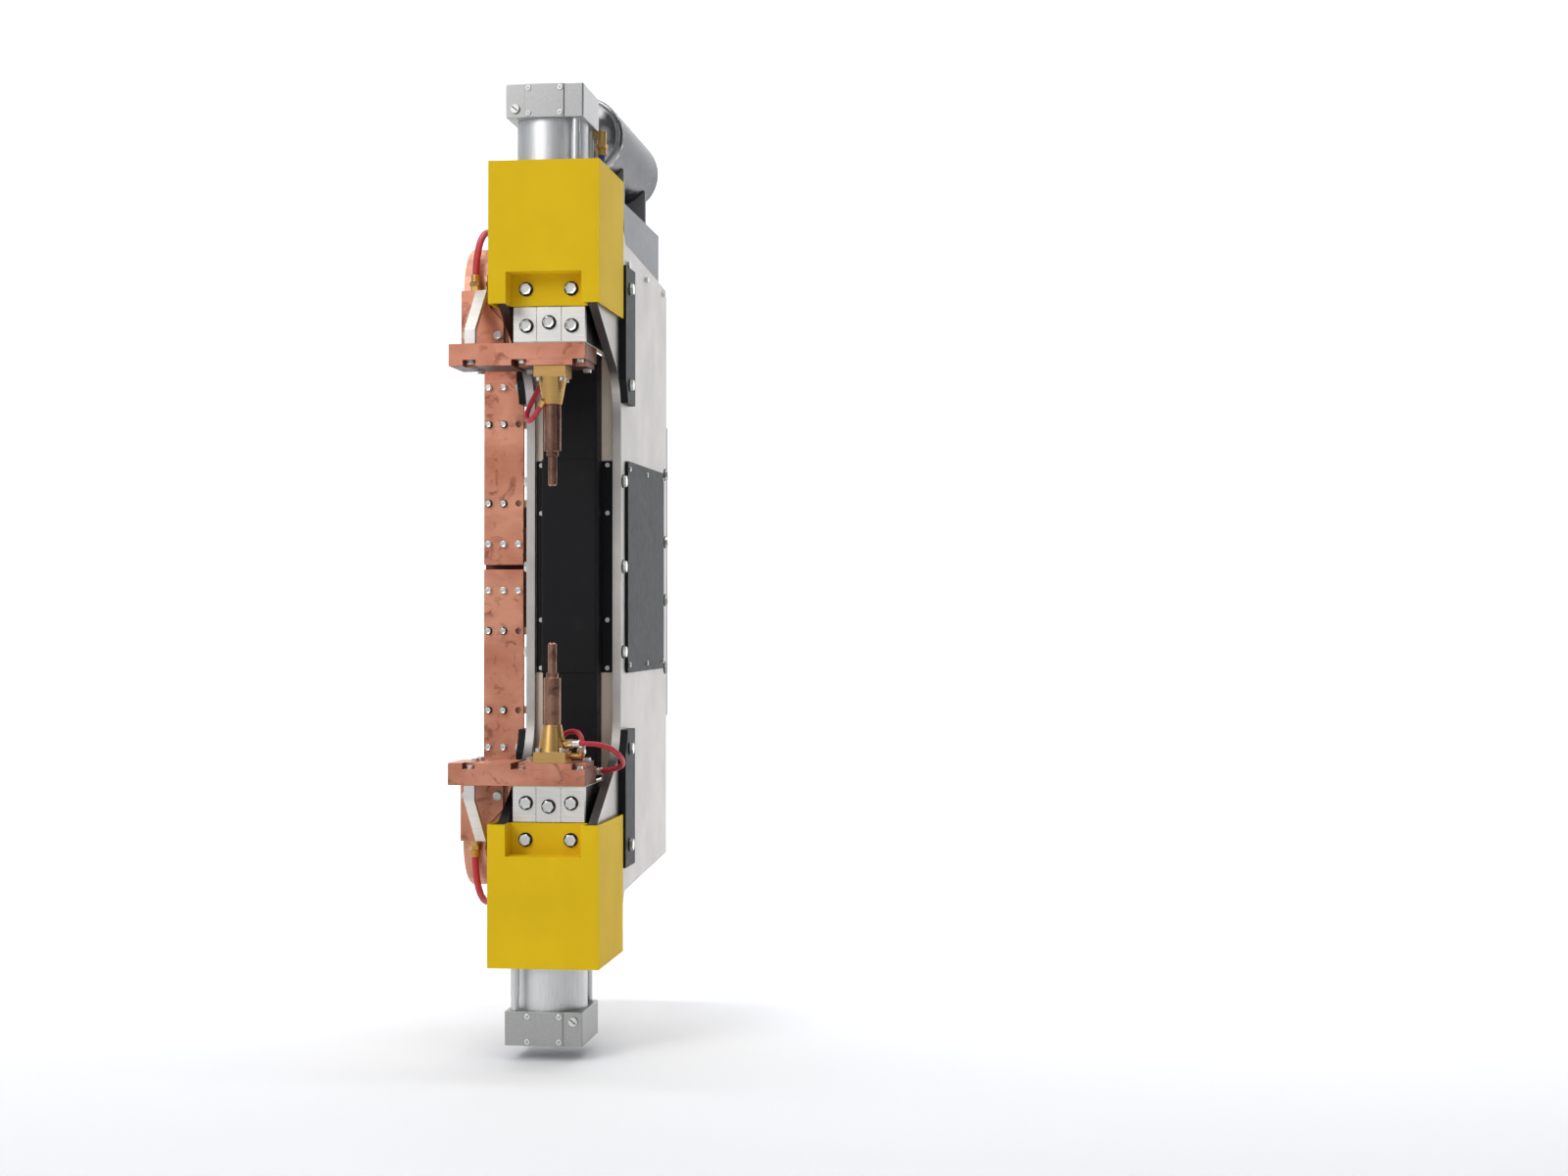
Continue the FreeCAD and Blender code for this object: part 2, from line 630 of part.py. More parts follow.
def panel_screws():
    face = CHEEK_OUTER_X + PANEL_THICKNESS
    middle = (PANEL_FRONT_DEPTH + PANEL_REAR_DEPTH) / 2
    depths = (PANEL_FRONT_DEPTH + PANEL_SCREW_INSET, middle, PANEL_REAR_DEPTH - PANEL_SCREW_INSET)
    height = PANEL_HALF_HEIGHT - PANEL_SCREW_INSET
    return [bar(point(face, depth, sign * height), V(1, 0, 0), BUTTON_HEIGHT, BUTTON_RADIUS)
            for depth in depths for sign in (-1, 1)]


def frame_bolts():
    """Bolts of the cheeks, stiffeners, rear plate and tank supports."""
    bolts = []
    for side in (-1, 1):
        outward = V(side, 0, 0)
        into_strip = CHEEK_THICKNESS + STRIP_THICKNESS
        bolts += [bolt(seat, outward, M12, into_strip) for seat in cheek_bolt_seats(side)]
        bolts += [bolt(seat, outward, M12, CHEEK_THICKNESS + 10.0) for seat in rear_bolt_seats(side)]
        through = STIFFENER_THICKNESS + CHEEK_THICKNESS
        bolts += both_ends([bolt(seat, outward, M12, through) for seat in stiffener_bolt_seats(side)])
        through = CHEEK_THICKNESS + SUPPORT_THICKNESS
        bolts += [bolt(seat, outward, M8, through) for seat in support_screw_seats(side)]
    return bolts


def throat_cover_screws():
    face = STRIP_FRONT_DEPTH - HAT_SHEET
    return both_ends([bar(point(x, face, height), FORWARD, BUTTON_HEIGHT, BUTTON_RADIUS)
                      for x in both_sides([HAT_SCREW_X]) for height in HAT_SCREW_HEIGHTS])


# Transformer side

def transformer():
    """Potted transformer, bolted flat to the left cheek."""
    outline = rounded_rectangle(
        (TRANSFORMER_FRONT_DEPTH, TRANSFORMER_FRONT_DEPTH + TRANSFORMER_LENGTH),
        (-TRANSFORMER_HALF_HEIGHT, TRANSFORMER_HALF_HEIGHT), TRANSFORMER_EDGE)
    return prism_x(outline, -CHEEK_OUTER_X, -CHEEK_OUTER_X - TRANSFORMER_WIDTH)


def bus_plate():
    """Copper plate from the transformer to the fixed end of the band, with one empty hole in each barred row."""
    plate = box((-BUS_FAR_X, -BUS_NEAR_X), (BUS_FRONT_DEPTH, BUS_REAR_DEPTH), (BUS_INNER, BUS_OUTER))
    plate = bolt_holes(plate, bus_bolt_seats(), FORWARD, M12, BUS_THICKNESS + 1)
    empty = [point(-BUS_BOLT_X[2], BUS_FRONT_DEPTH, row) for row in BUS_BAR_ROWS]
    return drill(plate, empty, FORWARD, M12[0], BUS_THICKNESS + 1)


def bus_pad():
    """Copper output pad of the transformer, behind the inner end of a bus plate."""
    pad = box((-BUS_FAR_X, -BUS_NEAR_X), (BUS_REAR_DEPTH, TRANSFORMER_FRONT_DEPTH), (PAD_INNER, PAD_OUTER))
    return bolt_holes(pad, bus_bolt_seats(), FORWARD, M12, BUS_THICKNESS + SPACER_BAR_DEPTH)


def spacer_bars():
    """Insulating bars that hold a bus plate off the left cheek."""
    bars = []
    for row in BUS_BAR_ROWS:
        spacer = box((-BUS_FAR_X, -CHEEK_OUTER_X), (BUS_REAR_DEPTH, BUS_REAR_DEPTH + SPACER_BAR_DEPTH),
                     (row - SPACER_BAR_HEIGHT / 2, row + SPACER_BAR_HEIGHT / 2))
        bars.append(bolt_holes(spacer, bus_bolt_seats(), FORWARD, M12, BUS_THICKNESS + SPACER_BAR_DEPTH))
    return bars


def bus_bolts():
    bolts = []
    for seat in bus_bolt_seats():
        past_plate = 0 if seat.z > BUS_BAR_ROWS[1] + 1 else SPACER_BAR_DEPTH
        bolts.append(bolt(seat, FORWARD, M12, BUS_THICKNESS + past_plate))
    return bolts


def terminal():
    """Copper plate standing on the arm, with its inner top corner cut off."""
    near = -TERMINAL_NEAR_X
    far = -ARM_LEFT
    outline = [
        (far, ARM_END, 0),
        (near, ARM_END, 0),
        (near, ARM_END + TERMINAL_SHOULDER, 10.0),
        (near - TERMINAL_CHAMFER, ARM_END + TERMINAL_SHOULDER + TERMINAL_CHAMFER, 10.0),
        (near - TERMINAL_CHAMFER, TERMINAL_END, 0),
        (far, TERMINAL_END, 0),
    ]
    plate = prism_y(outline, TERMINAL_FRONT_DEPTH, TERMINAL_REAR_DEPTH)
    return bolt_holes(plate, terminal_bolt_seats(), FORWARD, M12, TERMINAL_THICKNESS + 1)


def brace_strap():
    """Flat bar that props the terminal from the front edge of the arm."""
    run = TERMINAL_FRONT_DEPTH - BRACE_FRONT_DEPTH - BRACE_THICKNESS
    lean = math.atan2(TERMINAL_HEIGHT - BRACE_UPRIGHT, run)
    back = BRACE_THICKNESS / math.sin(lean)
    front = BRACE_FRONT_DEPTH
    outline = [
        (front, ARM_END, 0),
        (front + BRACE_THICKNESS, ARM_END, 0),
        (front + BRACE_THICKNESS, ARM_END + BRACE_UPRIGHT - 3.0, 0),
        (TERMINAL_FRONT_DEPTH, TERMINAL_END - back, 0),
        (TERMINAL_FRONT_DEPTH, TERMINAL_END, 0),
        (TERMINAL_FRONT_DEPTH - BRACE_THICKNESS / 2, TERMINAL_END, 0),
        (front, ARM_END + BRACE_UPRIGHT, 0),
    ]
    half = BRACE_WIDTH / 2
    return prism_x(outline, -BRACE_CENTRE - half, -BRACE_CENTRE + half)


def flex_band():
    """Laminated copper band in an upturned U, from the terminal to the bus plate, as a stack of leaves."""
    leaf = (BAND_THICKNESS - (BAND_LEAVES - 1) * BAND_LEAF_GAP) / BAND_LEAVES
    centre = TERMINAL_REAR_DEPTH + BAND_RADIUS
    bend = BAND_BEND_HEIGHT
    leaves = []
    for number in range(BAND_LEAVES):
        outer = BAND_RADIUS - number * (leaf + BAND_LEAF_GAP)
        inner = outer - leaf
        front_foot, rear_foot = BAND_FOOT_HEIGHT, BAND_END_HEIGHT

        def at(depth, height):
            return point(-ARM_LEFT, depth, height)

        edges = [
            Part.makeLine(at(centre - outer, front_foot), at(centre - outer, bend)),
            Part.Arc(at(centre - outer, bend), at(centre, bend + outer), at(centre + outer, bend)).toShape(),
            Part.makeLine(at(centre + outer, bend), at(centre + outer, rear_foot)),
            Part.makeLine(at(centre + outer, rear_foot), at(centre + inner, rear_foot)),
            Part.makeLine(at(centre + inner, rear_foot), at(centre + inner, bend)),
            Part.Arc(at(centre + inner, bend), at(centre, bend + inner), at(centre - inner, bend)).toShape(),
            Part.makeLine(at(centre - inner, bend), at(centre - inner, front_foot)),
            Part.makeLine(at(centre - inner, front_foot), at(centre - outer, front_foot)),
        ]
        face = Part.Face(Part.Wire(edges))
        leaves.append(face.extrude(V(ARM_LEFT - TERMINAL_NEAR_X, 0, 0)))
    return leaves


# Ram: everything that moves with one piston

def ram_block():
    """Milled front block in three segments, with fine grooves between them."""
    half = ARM_RIGHT
    block = box((-half, half), (ARM_FRONT_DEPTH, FOOT_FRONT_DEPTH), (RAM_START, RAM_END))
    for x in both_sides([BLOCK_GROOVE_X]):
        groove = box((x - BLOCK_GROOVE / 2, x + BLOCK_GROOVE / 2),
                     (ARM_FRONT_DEPTH - 1, ARM_FRONT_DEPTH + BLOCK_GROOVE), (RAM_START - 1, RAM_END + 1))
        block = block.cut(groove)
    return bolt_holes(block, block_bolt_seats(), FORWARD, M12, BLOCK_THICKNESS + 1)


def foot_outline(front_depth):
    """Plan of the slide's foot, with a rear notch that clears the throat housing."""
    half, notch = ARM_RIGHT, FOOT_NOTCH_HALF_WIDTH
    return [
        (-half, front_depth, 0), (half, front_depth, 0), (half, FOOT_REAR_DEPTH, 0), (notch, FOOT_REAR_DEPTH, 0),
        (notch, COLUMN_REAR_DEPTH, 0), (-notch, COLUMN_REAR_DEPTH, 0), (-notch, FOOT_REAR_DEPTH, 0),
        (-half, FOOT_REAR_DEPTH, 0),
    ]


def insulating_sheet():
    return prism_z(foot_outline(ARM_FRONT_DEPTH), ARM_END, RAM_START)


def slide():
    """L-shaped slide: a foot over the arm and a column that runs in the guides, with a rail on each side."""
    foot = prism_z(foot_outline(FOOT_FRONT_DEPTH), RAM_START, FOOT_END)
    column = box((-COLUMN_HALF_WIDTH, COLUMN_HALF_WIDTH), (COLUMN_FRONT_DEPTH, COLUMN_REAR_DEPTH),
                 (FOOT_END, COLUMN_TOP))
    body = foot.fuse(column).removeSplitter()
    body = bolt_holes(body, block_bolt_seats(), FORWARD, M12, BLOCK_THICKNESS + 16.0)
    spigot_hole = upright(0, ELECTRODE_DEPTH, FOOT_END - SPIGOT_LENGTH, FOOT_END + 1, SPIGOT_RADIUS + HOLE_CLEARANCE)
    body = body.cut(spigot_hole)
    rails = [box((side * COLUMN_HALF_WIDTH, side * (COLUMN_HALF_WIDTH + RAIL_HEIGHT)),
                 (RAIL_FRONT_DEPTH, RAIL_FRONT_DEPTH + RAIL_WIDTH), (FOOT_END, COLUMN_TOP)) for side in (-1, 1)]
    return [body] + rails


def carriage(side):
    """Guide block on the inner face of a cheek, with a slot that the rail runs in."""
    near = COLUMN_HALF_WIDTH + CARRIAGE_SIDE_GAP
    bottom = FRONT_PLATE_START + CARRIAGE_LIFT
    heights = (bottom, bottom + CARRIAGE_LENGTH)
    rail_rear = RAIL_FRONT_DEPTH + RAIL_WIDTH
    block = box((side * near, side * CHEEK_INNER_X), (RAIL_FRONT_DEPTH - CARRIAGE_WALL, rail_rear + CARRIAGE_WALL),
                heights)
    slot_end = COLUMN_HALF_WIDTH + RAIL_HEIGHT + RUNNING_GAP
    slot = box((side * (near - 1), side * slot_end), (RAIL_FRONT_DEPTH - RUNNING_GAP, rail_rear + RUNNING_GAP),
               (heights[0] - 1, heights[1] + 1))
    return block.cut(slot)


def piston():
    """Piston and rod, with a spigot seated in the slide's foot."""
    face = HEAD_START - PISTON_END_GAP
    crown = upright(0, ELECTRODE_DEPTH, face - PISTON_THICKNESS, face, TUBE_BORE_RADIUS - RUNNING_GAP)
    rod = upright(0, ELECTRODE_DEPTH, FOOT_END, face - PISTON_THICKNESS, ROD_RADIUS)
    spigot = upright(0, ELECTRODE_DEPTH, FOOT_END - SPIGOT_LENGTH, FOOT_END, SPIGOT_RADIUS)
    return crown.fuse(rod).fuse(spigot).removeSplitter()


def arm():
    """Copper arm across the front of the ram, stepped on the throat side where the electrode plate seats."""
    outline = [
        (-ARM_LEFT, ARM_START, 0),
        (-REBATE_LEFT, ARM_START, 0),
        (-REBATE_LEFT, ARM_START + REBATE_HEIGHT, 0),
        (ARM_RIGHT, ARM_START + REBATE_HEIGHT, 0),
        (ARM_RIGHT, ARM_END, 0),
        (-ARM_LEFT, ARM_END, 0),
    ]
    body = prism_y(outline, ARM_FRONT_DEPTH, ARM_REAR_DEPTH)
    half = NOTCH_WIDTH / 2
    notch = box((-NOTCH_CENTRE - half, -NOTCH_CENTRE + half), (ARM_FRONT_DEPTH - 1, ARM_FRONT_DEPTH + NOTCH_DEPTH),
                (ARM_START - 1, ARM_START + REBATE_HEIGHT))
    body = body.cut(notch)
    blind = ARM_HEIGHT - REBATE_HEIGHT - 5.0
    body = bolt_holes(body, [notch_bolt_seat()] + plate_corner_bolt_seats(), INWARD, M8, blind)
    return bolt_holes(body, arm_bolt_seats() + plate_rear_bolt_seats(), INWARD, M8, blind)


def electrode_plate():
    """Copper plate in the arm's rebate, with its front corners cut back round two bolts."""
    half, nose = PLATE_HALF_WIDTH, PLATE_NOSE_HALF_WIDTH
    front, rear = ARM_FRONT_DEPTH, ARM_FRONT_DEPTH + PLATE_LENGTH
    corner = front + PLATE_CORNER_DEPTH
    outline = [
        (-nose, front, 0), (nose, front, 0), (nose, corner, 0), (half, corner, 0),
        (half, rear, 0), (-half, rear, 0), (-half, corner, 0), (-nose, corner, 0),
    ]
    plate = prism_z(outline, ARM_START, ARM_START + REBATE_HEIGHT)
    return bolt_holes(plate, plate_rear_bolt_seats(), INWARD, M8, REBATE_HEIGHT + 1)


def holder_screw_places():
    return [(x, ELECTRODE_DEPTH + sign * HOLDER_SCREW_DEPTH) for x in both_sides([HOLDER_SCREW_X]) for sign in (-1, 1)]


def electrode_holder():
    """Brass holder: a square base and a cone that four screw recesses scallop, on the electrode plate."""
    half_width, half_depth = HOLDER_BASE_WIDTH / 2, HOLDER_BASE_DEPTH / 2
    base = box((-half_width, half_width), (ELECTRODE_DEPTH - half_depth, ELECTRODE_DEPTH + half_depth),
               (BASE_START, ARM_START))
    cone = Part.makeCone(CONE_TIP_RADIUS, CONE_ROOT_RADIUS, CONE_LENGTH, point(0, ELECTRODE_DEPTH, CONE_START))
    for x, depth in holder_screw_places():
        cone = cone.cut(upright(x, depth, CONE_START, BASE_START, SCALLOP_RADIUS))
    return base.fuse(cone).removeSplitter()


def electrode():
    """Copper shaft with a stepped collar, and the cap that does the welding."""
    shaft = upright(0, ELECTRODE_DEPTH, SHAFT_START, CONE_START, SHAFT_RADIUS)
    collar = upright(0, ELECTRODE_DEPTH, COLLAR_START, SHAFT_START, COLLAR_RADIUS)
    straight = upright(0, ELECTRODE_DEPTH, TIP_END + TIP_NOSE, COLLAR_START, TIP_RADIUS)
    nose = Part.makeCone(TIP_RADIUS - TIP_NOSE, TIP_RADIUS, TIP_NOSE, point(0, ELECTRODE_DEPTH, TIP_END))
    return [shaft.fuse(collar).removeSplitter(), straight.fuse(nose).removeSplitter()]


def ram_bolts():
    """Bolts that hold the block, terminal, arm, electrode plate and holder together."""
    blind = ARM_HEIGHT - REBATE_HEIGHT - 6.0
    bolts = [bolt(seat, FORWARD, M12, BLOCK_THICKNESS + 15.0) for seat in block_bolt_seats()]
    bolts += [bolt(seat, FORWARD, M12, TERMINAL_THICKNESS) for seat in terminal_bolt_seats()]
    bolts += [bolt(seat, INWARD, M8, blind) for seat in [notch_bolt_seat()] + plate_corner_bolt_seats()]
    bolts += [bolt(seat, INWARD, M8, blind) for seat in arm_bolt_seats() + plate_rear_bolt_seats()]
    bolts += [bar(point(x, depth, BASE_START), INWARD, CAP_SCREW_HEIGHT, CAP_SCREW_RADIUS)
              for x, depth in holder_screw_places()]
    return bolts


# Cylinder

def square_block(z0, z1):
    outline = rounded_rectangle((-HEAD_SIZE / 2, HEAD_SIZE / 2), (HEAD_FRONT_DEPTH, HEAD_REAR_DEPTH), BLOCK_EDGE)
    return prism_z(outline, z0, z1)


def cylinder_blocks():
    """Head and front cap of a cylinder."""
    head = square_block(HEAD_START, HEAD_END)
    cap = square_block(CAP_START, TUBE_START)
    cap = cap.cut(upright(0, ELECTRODE_DEPTH, CAP_START - 1, TUBE_START + 1, ROD_RADIUS + RUNNING_GAP))
    return [head, cap]


def cylinder_tube():
    outer = upright(0, ELECTRODE_DEPTH, TUBE_START, HEAD_START, TUBE_RADIUS)
    return outer.cut(upright(0, ELECTRODE_DEPTH, TUBE_START - 1, HEAD_START + 1, TUBE_BORE_RADIUS))


def transfer_tubes():
    """Air transfer tube at the front of a cylinder, and its two rear tie rods."""
    neck_start = HEAD_START - TRANSFER_NECK_LENGTH
    tube = upright(TRANSFER_X, TRANSFER_DEPTH, TUBE_START, neck_start, TRANSFER_RADIUS)
    tube = tube.fuse(upright(TRANSFER_X, TRANSFER_DEPTH, neck_start, HEAD_START, TRANSFER_NECK_RADIUS))
    rods = [upright(x, TIE_ROD_DEPTH, TUBE_START, HEAD_START, TIE_ROD_RADIUS) for x in both_sides([TIE_ROD_X])]
    return [tube.removeSplitter()] + rods


def head_fittings():
    """Cover plate with its screws, the slotted plug and the end boss of a cylinder head."""
    half = HEAD_PLATE_WIDTH / 2
    face = HEAD_FRONT_DEPTH - HEAD_PLATE_THICKNESS
    plate = box((-half, half), (face, HEAD_FRONT_DEPTH), (HEAD_START, HEAD_END))
    heights = (HEAD_START + HEAD_SCREW_INSET, HEAD_END - HEAD_SCREW_INSET)
    screws = [bar(point(x, face, z), FORWARD, BUTTON_HEIGHT / 2, BUTTON_RADIUS)
              for x in both_sides([HEAD_SCREW_X]) for z in heights]
    plug = bar(point(-PLUG_X, HEAD_FRONT_DEPTH, HEAD_START + PLUG_LIFT), FORWARD, BUTTON_HEIGHT, PLUG_RADIUS)
    boss = upright(0, ELECTRODE_DEPTH, HEAD_END, HEAD_END + BOSS_HEIGHT, BOSS_RADIUS)
    return [plate] + screws + [plug, boss]


def front_plates():
    """Fixed plate behind the cover's pocket, and the seat of the cylinder's front cap."""
    across = (-CHEEK_INNER_X, CHEEK_INNER_X)
    rear = ARM_FRONT_DEPTH + FRONT_PLATE_THICKNESS
    plate = box(across, (ARM_FRONT_DEPTH, rear), (FRONT_PLATE_START, CAP_START))
    plate = bolt_holes(plate, cover_bolt_seats(), FORWARD, M12, COVER_SHEET + FRONT_PLATE_THICKNESS + 1)
    seat = box(across, (rear, HEAD_REAR_DEPTH), (CAP_START - SEAT_THICKNESS, CAP_START))
    seat = seat.cut(upright(0, ELECTRODE_DEPTH, CAP_START - SEAT_THICKNESS - 1, CAP_START + 1, SEAT_BORE))
    return [plate, seat]


def cover():
    """Yellow sheet cover: a front and two sides, with a pocket where it is bolted on."""
    top = COVER_START + COVER_HEIGHT
    outer = box((-COVER_HALF_WIDTH, COVER_HALF_WIDTH), (0, COVER_DEPTH), (COVER_START, top))
    inside = COVER_HALF_WIDTH - COVER_SHEET
    shell = outer.cut(box((-inside, inside), (COVER_SHEET, COVER_DEPTH + 1), (COVER_START - 1, top + 1)))
    half = POCKET_HALF_WIDTH
    pocket_top = COVER_START + POCKET_HEIGHT
    wall = box((-half - COVER_SHEET, half + COVER_SHEET), (0, ARM_FRONT_DEPTH),
               (COVER_START, pocket_top + COVER_SHEET))
    recess = box((-half, half), (-1, POCKET_FLOOR_DEPTH), (COVER_START - 1, pocket_top))
    shell = shell.fuse(wall).cut(recess).removeSplitter()
    return bolt_holes(shell, cover_bolt_seats(), FORWARD, M12, COVER_SHEET + 1)


def cover_bolts():
    through = COVER_SHEET + FRONT_PLATE_THICKNESS
    return [bolt(seat, FORWARD, M12, through) for seat in cover_bolt_seats()]


# Air tank

def air_tank():
    """Steel tank lying along Y, with dished ends, turned from its half profile."""
    front = TANK_FRONT_DEPTH
    rear = front + TANK_SHELL_LENGTH
    half_chord = TANK_RADIUS - TANK_KNUCKLE
    dome_radius = (half_chord ** 2 + (TANK_DISH - TANK_KNUCKLE) ** 2) / (2 * (TANK_DISH - TANK_KNUCKLE))

    def at(radius, depth):
        return point(0, depth, TANK_HEIGHT + radius)

    def end(shell_depth, sign):
        """Arc edges from the shell to the axis, for the end that bulges in the direction of sign."""
        knuckle = shell_depth + sign * TANK_KNUCKLE
        turn = TANK_KNUCKLE * (1 - math.sqrt(0.5))
        corner = Part.Arc(at(TANK_RADIUS, shell_depth), at(TANK_RADIUS - turn, knuckle - sign * turn),
                          at(half_chord, knuckle)).toShape()
        rise = math.sqrt(dome_radius ** 2 - (half_chord / 2) ** 2) - (dome_radius - (TANK_DISH - TANK_KNUCKLE))
        dome = Part.Arc(at(half_chord, knuckle), at(half_chord / 2, knuckle + sign * rise),
                        at(0, shell_depth + sign * TANK_DISH)).toShape()
        return [corner, dome]

    edges = end(front, -1) + end(rear, 1)
    edges.append(Part.makeLine(at(TANK_RADIUS, front), at(TANK_RADIUS, rear)))
    edges.append(Part.makeLine(at(0, front - TANK_DISH), at(0, rear + TANK_DISH)))
    profile = Part.Face(Part.Wire(Part.__sortEdges__(edges)))
    return profile.revolve(point(0, 0, TANK_HEIGHT), V(0, 1, 0), 360)


def tank_supports():
    """Two side plates on the upper web and two saddles that the tank lies in."""
    bottom = TOP_WEB_HEIGHT + TOP_WEB_THICKNESS
    inner_x = CHEEK_INNER_X - SUPPORT_THICKNESS
    pieces = []
    for side in (-1, 1):
        outline = rounded_rectangle((SUPPORT_FRONT_DEPTH, SUPPORT_REAR_DEPTH), (bottom, SUPPORT_TOP), 0)
        plate = prism_x(outline, side * inner_x, side * CHEEK_INNER_X)
        hole = bar(point(side * (inner_x - 1), SUPPORT_HOLE_DEPTH, SUPPORT_HOLE_HEIGHT), V(side, 0, 0),
                   SUPPORT_THICKNESS + 2, SUPPORT_HOLE_RADIUS)
        plate = plate.cut(hole)
        through = CHEEK_THICKNESS + SUPPORT_THICKNESS
        pieces.append(bolt_holes(plate, support_screw_seats(side), V(side, 0, 0), M8, through))
    saddle_top = TANK_HEIGHT - SADDLE_WRAP
    for depth in SADDLE_DEPTHS:
        saddle = box((-inner_x, inner_x), (depth, depth + SADDLE_THICKNESS), (SADDLE_BOTTOM, saddle_top))
        seat = bar(point(0, depth - 1, TANK_HEIGHT), V(0, 1, 0), SADDLE_THICKNESS + 2, TANK_RADIUS + HOLE_CLEARANCE)
        pieces.append(saddle.cut(seat))
    return pieces


# Fittings and hoses

def hose_fitting(start, toward, hose_radius, length):
    """Hexagon body and round neck, from its seat to the hose end."""
    body = hexagon(start, toward, FITTING_HEX_LENGTH, FITTING_HEX)
    neck = bar(start + toward * FITTING_HEX_LENGTH, toward, length - FITTING_HEX_LENGTH, hose_radius + 1.0)
    return body.fuse(neck).removeSplitter()


def terminal_fittings():
    depth = WATER_HOSE_ROUTE[0][0]
    length = WATER_HOSE_ROUTE[0][1] - TERMINAL_END
    return [hose_fitting(point(-x, depth, TERMINAL_END), V(0, 0, 1), WATER_HOSE_RADIUS, length) for x in WATER_HOSE_X]


def manifold():
    """Water manifold on the outside of the left cheek."""
    far = WATER_HOSE_X[0] + MANIFOLD_SIZE / 2
    return box((-far, -CHEEK_OUTER_X), (MANIFOLD_FRONT_DEPTH, MANIFOLD_FRONT_DEPTH + MANIFOLD_SIZE),
               (MANIFOLD_HEIGHT, MANIFOLD_HEIGHT + MANIFOLD_SIZE))


def manifold_fittings():
    depth, hose_end = WATER_HOSE_ROUTE[-1]
    top = MANIFOLD_HEIGHT + MANIFOLD_SIZE
    return [hose_fitting(point(-x, depth, top), V(0, 0, 1), WATER_HOSE_RADIUS, hose_end - top) for x in WATER_HOSE_X]


def route_points(route):
    return [point(*place) for place in route]


def largest(shape):
    return max(shape.Solids, key=lambda solid: solid.Volume)


def upper_electrode_fittings():
    """Nipple on the electrode plate and one on the shaft, at the ends of the upper electrode hose."""
    route = route_points(UPPER_ELECTRODE_ROUTE)
    start_direction = (route[0] - route[1]).normalize()
    nipple = bar(route[0], start_direction, 14.0, ELECTRODE_HOSE_RADIUS + 1.5)
    below_plate = box((-PLATE_HALF_WIDTH, 0), (ARM_FRONT_DEPTH, ARM_REAR_DEPTH), (BASE_START, ARM_START))
    end_direction = (route[-1] - route[-2]).normalize()
    shaft = upright(0, ELECTRODE_DEPTH, SHAFT_START, CONE_START, SHAFT_RADIUS)
    tail = bar(route[-1], end_direction, 12.0, ELECTRODE_HOSE_RADIUS + 1.0).cut(shaft)
    return [nipple.common(below_plate), largest(tail.cut(electrode_holder()))]


def lower_electrode_fittings():
    """Straight fitting on the lower cone and an elbow block behind the lower arm."""
    route = route_points(LOWER_ELECTRODE_ROUTE)
    toward_cone = (route[0] - route[1]).normalize()
    body = hexagon(route[0], toward_cone, 14.0, 15.0)
    neck = bar(route[0] + toward_cone * 14.0, toward_cone, 16.0, ELECTRODE_HOSE_RADIUS)
    body = largest(body.fuse(neck).removeSplitter().cut(electrode_holder()))
    x, depth, height = LOWER_ELECTRODE_ROUTE[-1]
    elbow = box((x, x - 18.0), (ARM_REAR_DEPTH, depth + 8.0), (height - 8.0, height + 8.0))
    hose_end = bar(route[-1], (route[-2] - route[-1]).normalize(), 12.0, ELECTRODE_HOSE_RADIUS)
    return [body, elbow.cut(hose_end)]


def lower_cooling_fittings():
    """Nipple behind the lower holder and the elbow on its side, at the ends of the short cooling hose."""
    route = route_points(LOWER_COOLING_ROUTE)
    nipple = bar(route[0], (route[0] - route[1]).normalize(), COOLING_NIPPLE_LENGTH,
                 ELECTRODE_HOSE_RADIUS + 1.0)
    end_direction = (route[-1] - route[-2]).normalize()
    upright_leg = bar(route[-1], end_direction, COOLING_ELBOW_LENGTH, COOLING_ELBOW_RADIUS)
    corner = route[-1] + end_direction * (COOLING_ELBOW_LENGTH - COOLING_LEG_OVERLAP)
    side = HOLDER_BASE_WIDTH / 2
    level_leg = bar(V(side, corner.y, corner.z), V(1, 0, 0), corner.x - side, COOLING_ELBOW_RADIUS - 1.0)
    return [largest(nipple.cut(electrode_holder())), upright_leg.fuse(level_leg)]


def air_fittings():
    """Elbow under the edge of a cylinder head and the bulkhead fitting on the web, for the air hose."""
    half = AIR_ELBOW_SIZE / 2
    block = box((AIR_ELBOW_NEAR_X, AIR_HOSE_X), (AIR_HOSE_DEPTH - half, AIR_HOSE_DEPTH + half),
                (HEAD_START - AIR_ELBOW_SIZE, HEAD_START))
    leg = upright(AIR_HOSE_X, AIR_HOSE_DEPTH, AIR_HOSE_ROUTE[0][2], HEAD_START, AIR_ELBOW_RADIUS)
    elbow = block.fuse(leg).removeSplitter()
    route = route_points(AIR_HOSE_ROUTE)
    direction = (route[-1] - route[-2]).normalize()
    bulkhead = bar(route[-1], direction, 20.0, AIR_HOSE_RADIUS + 1.5)
    in_front_of_web = box((0, CHEEK_INNER_X), (0, ARM_WEB_DEPTH), (0, HEAD_START))
    return [elbow, bulkhead.common(in_front_of_web)]


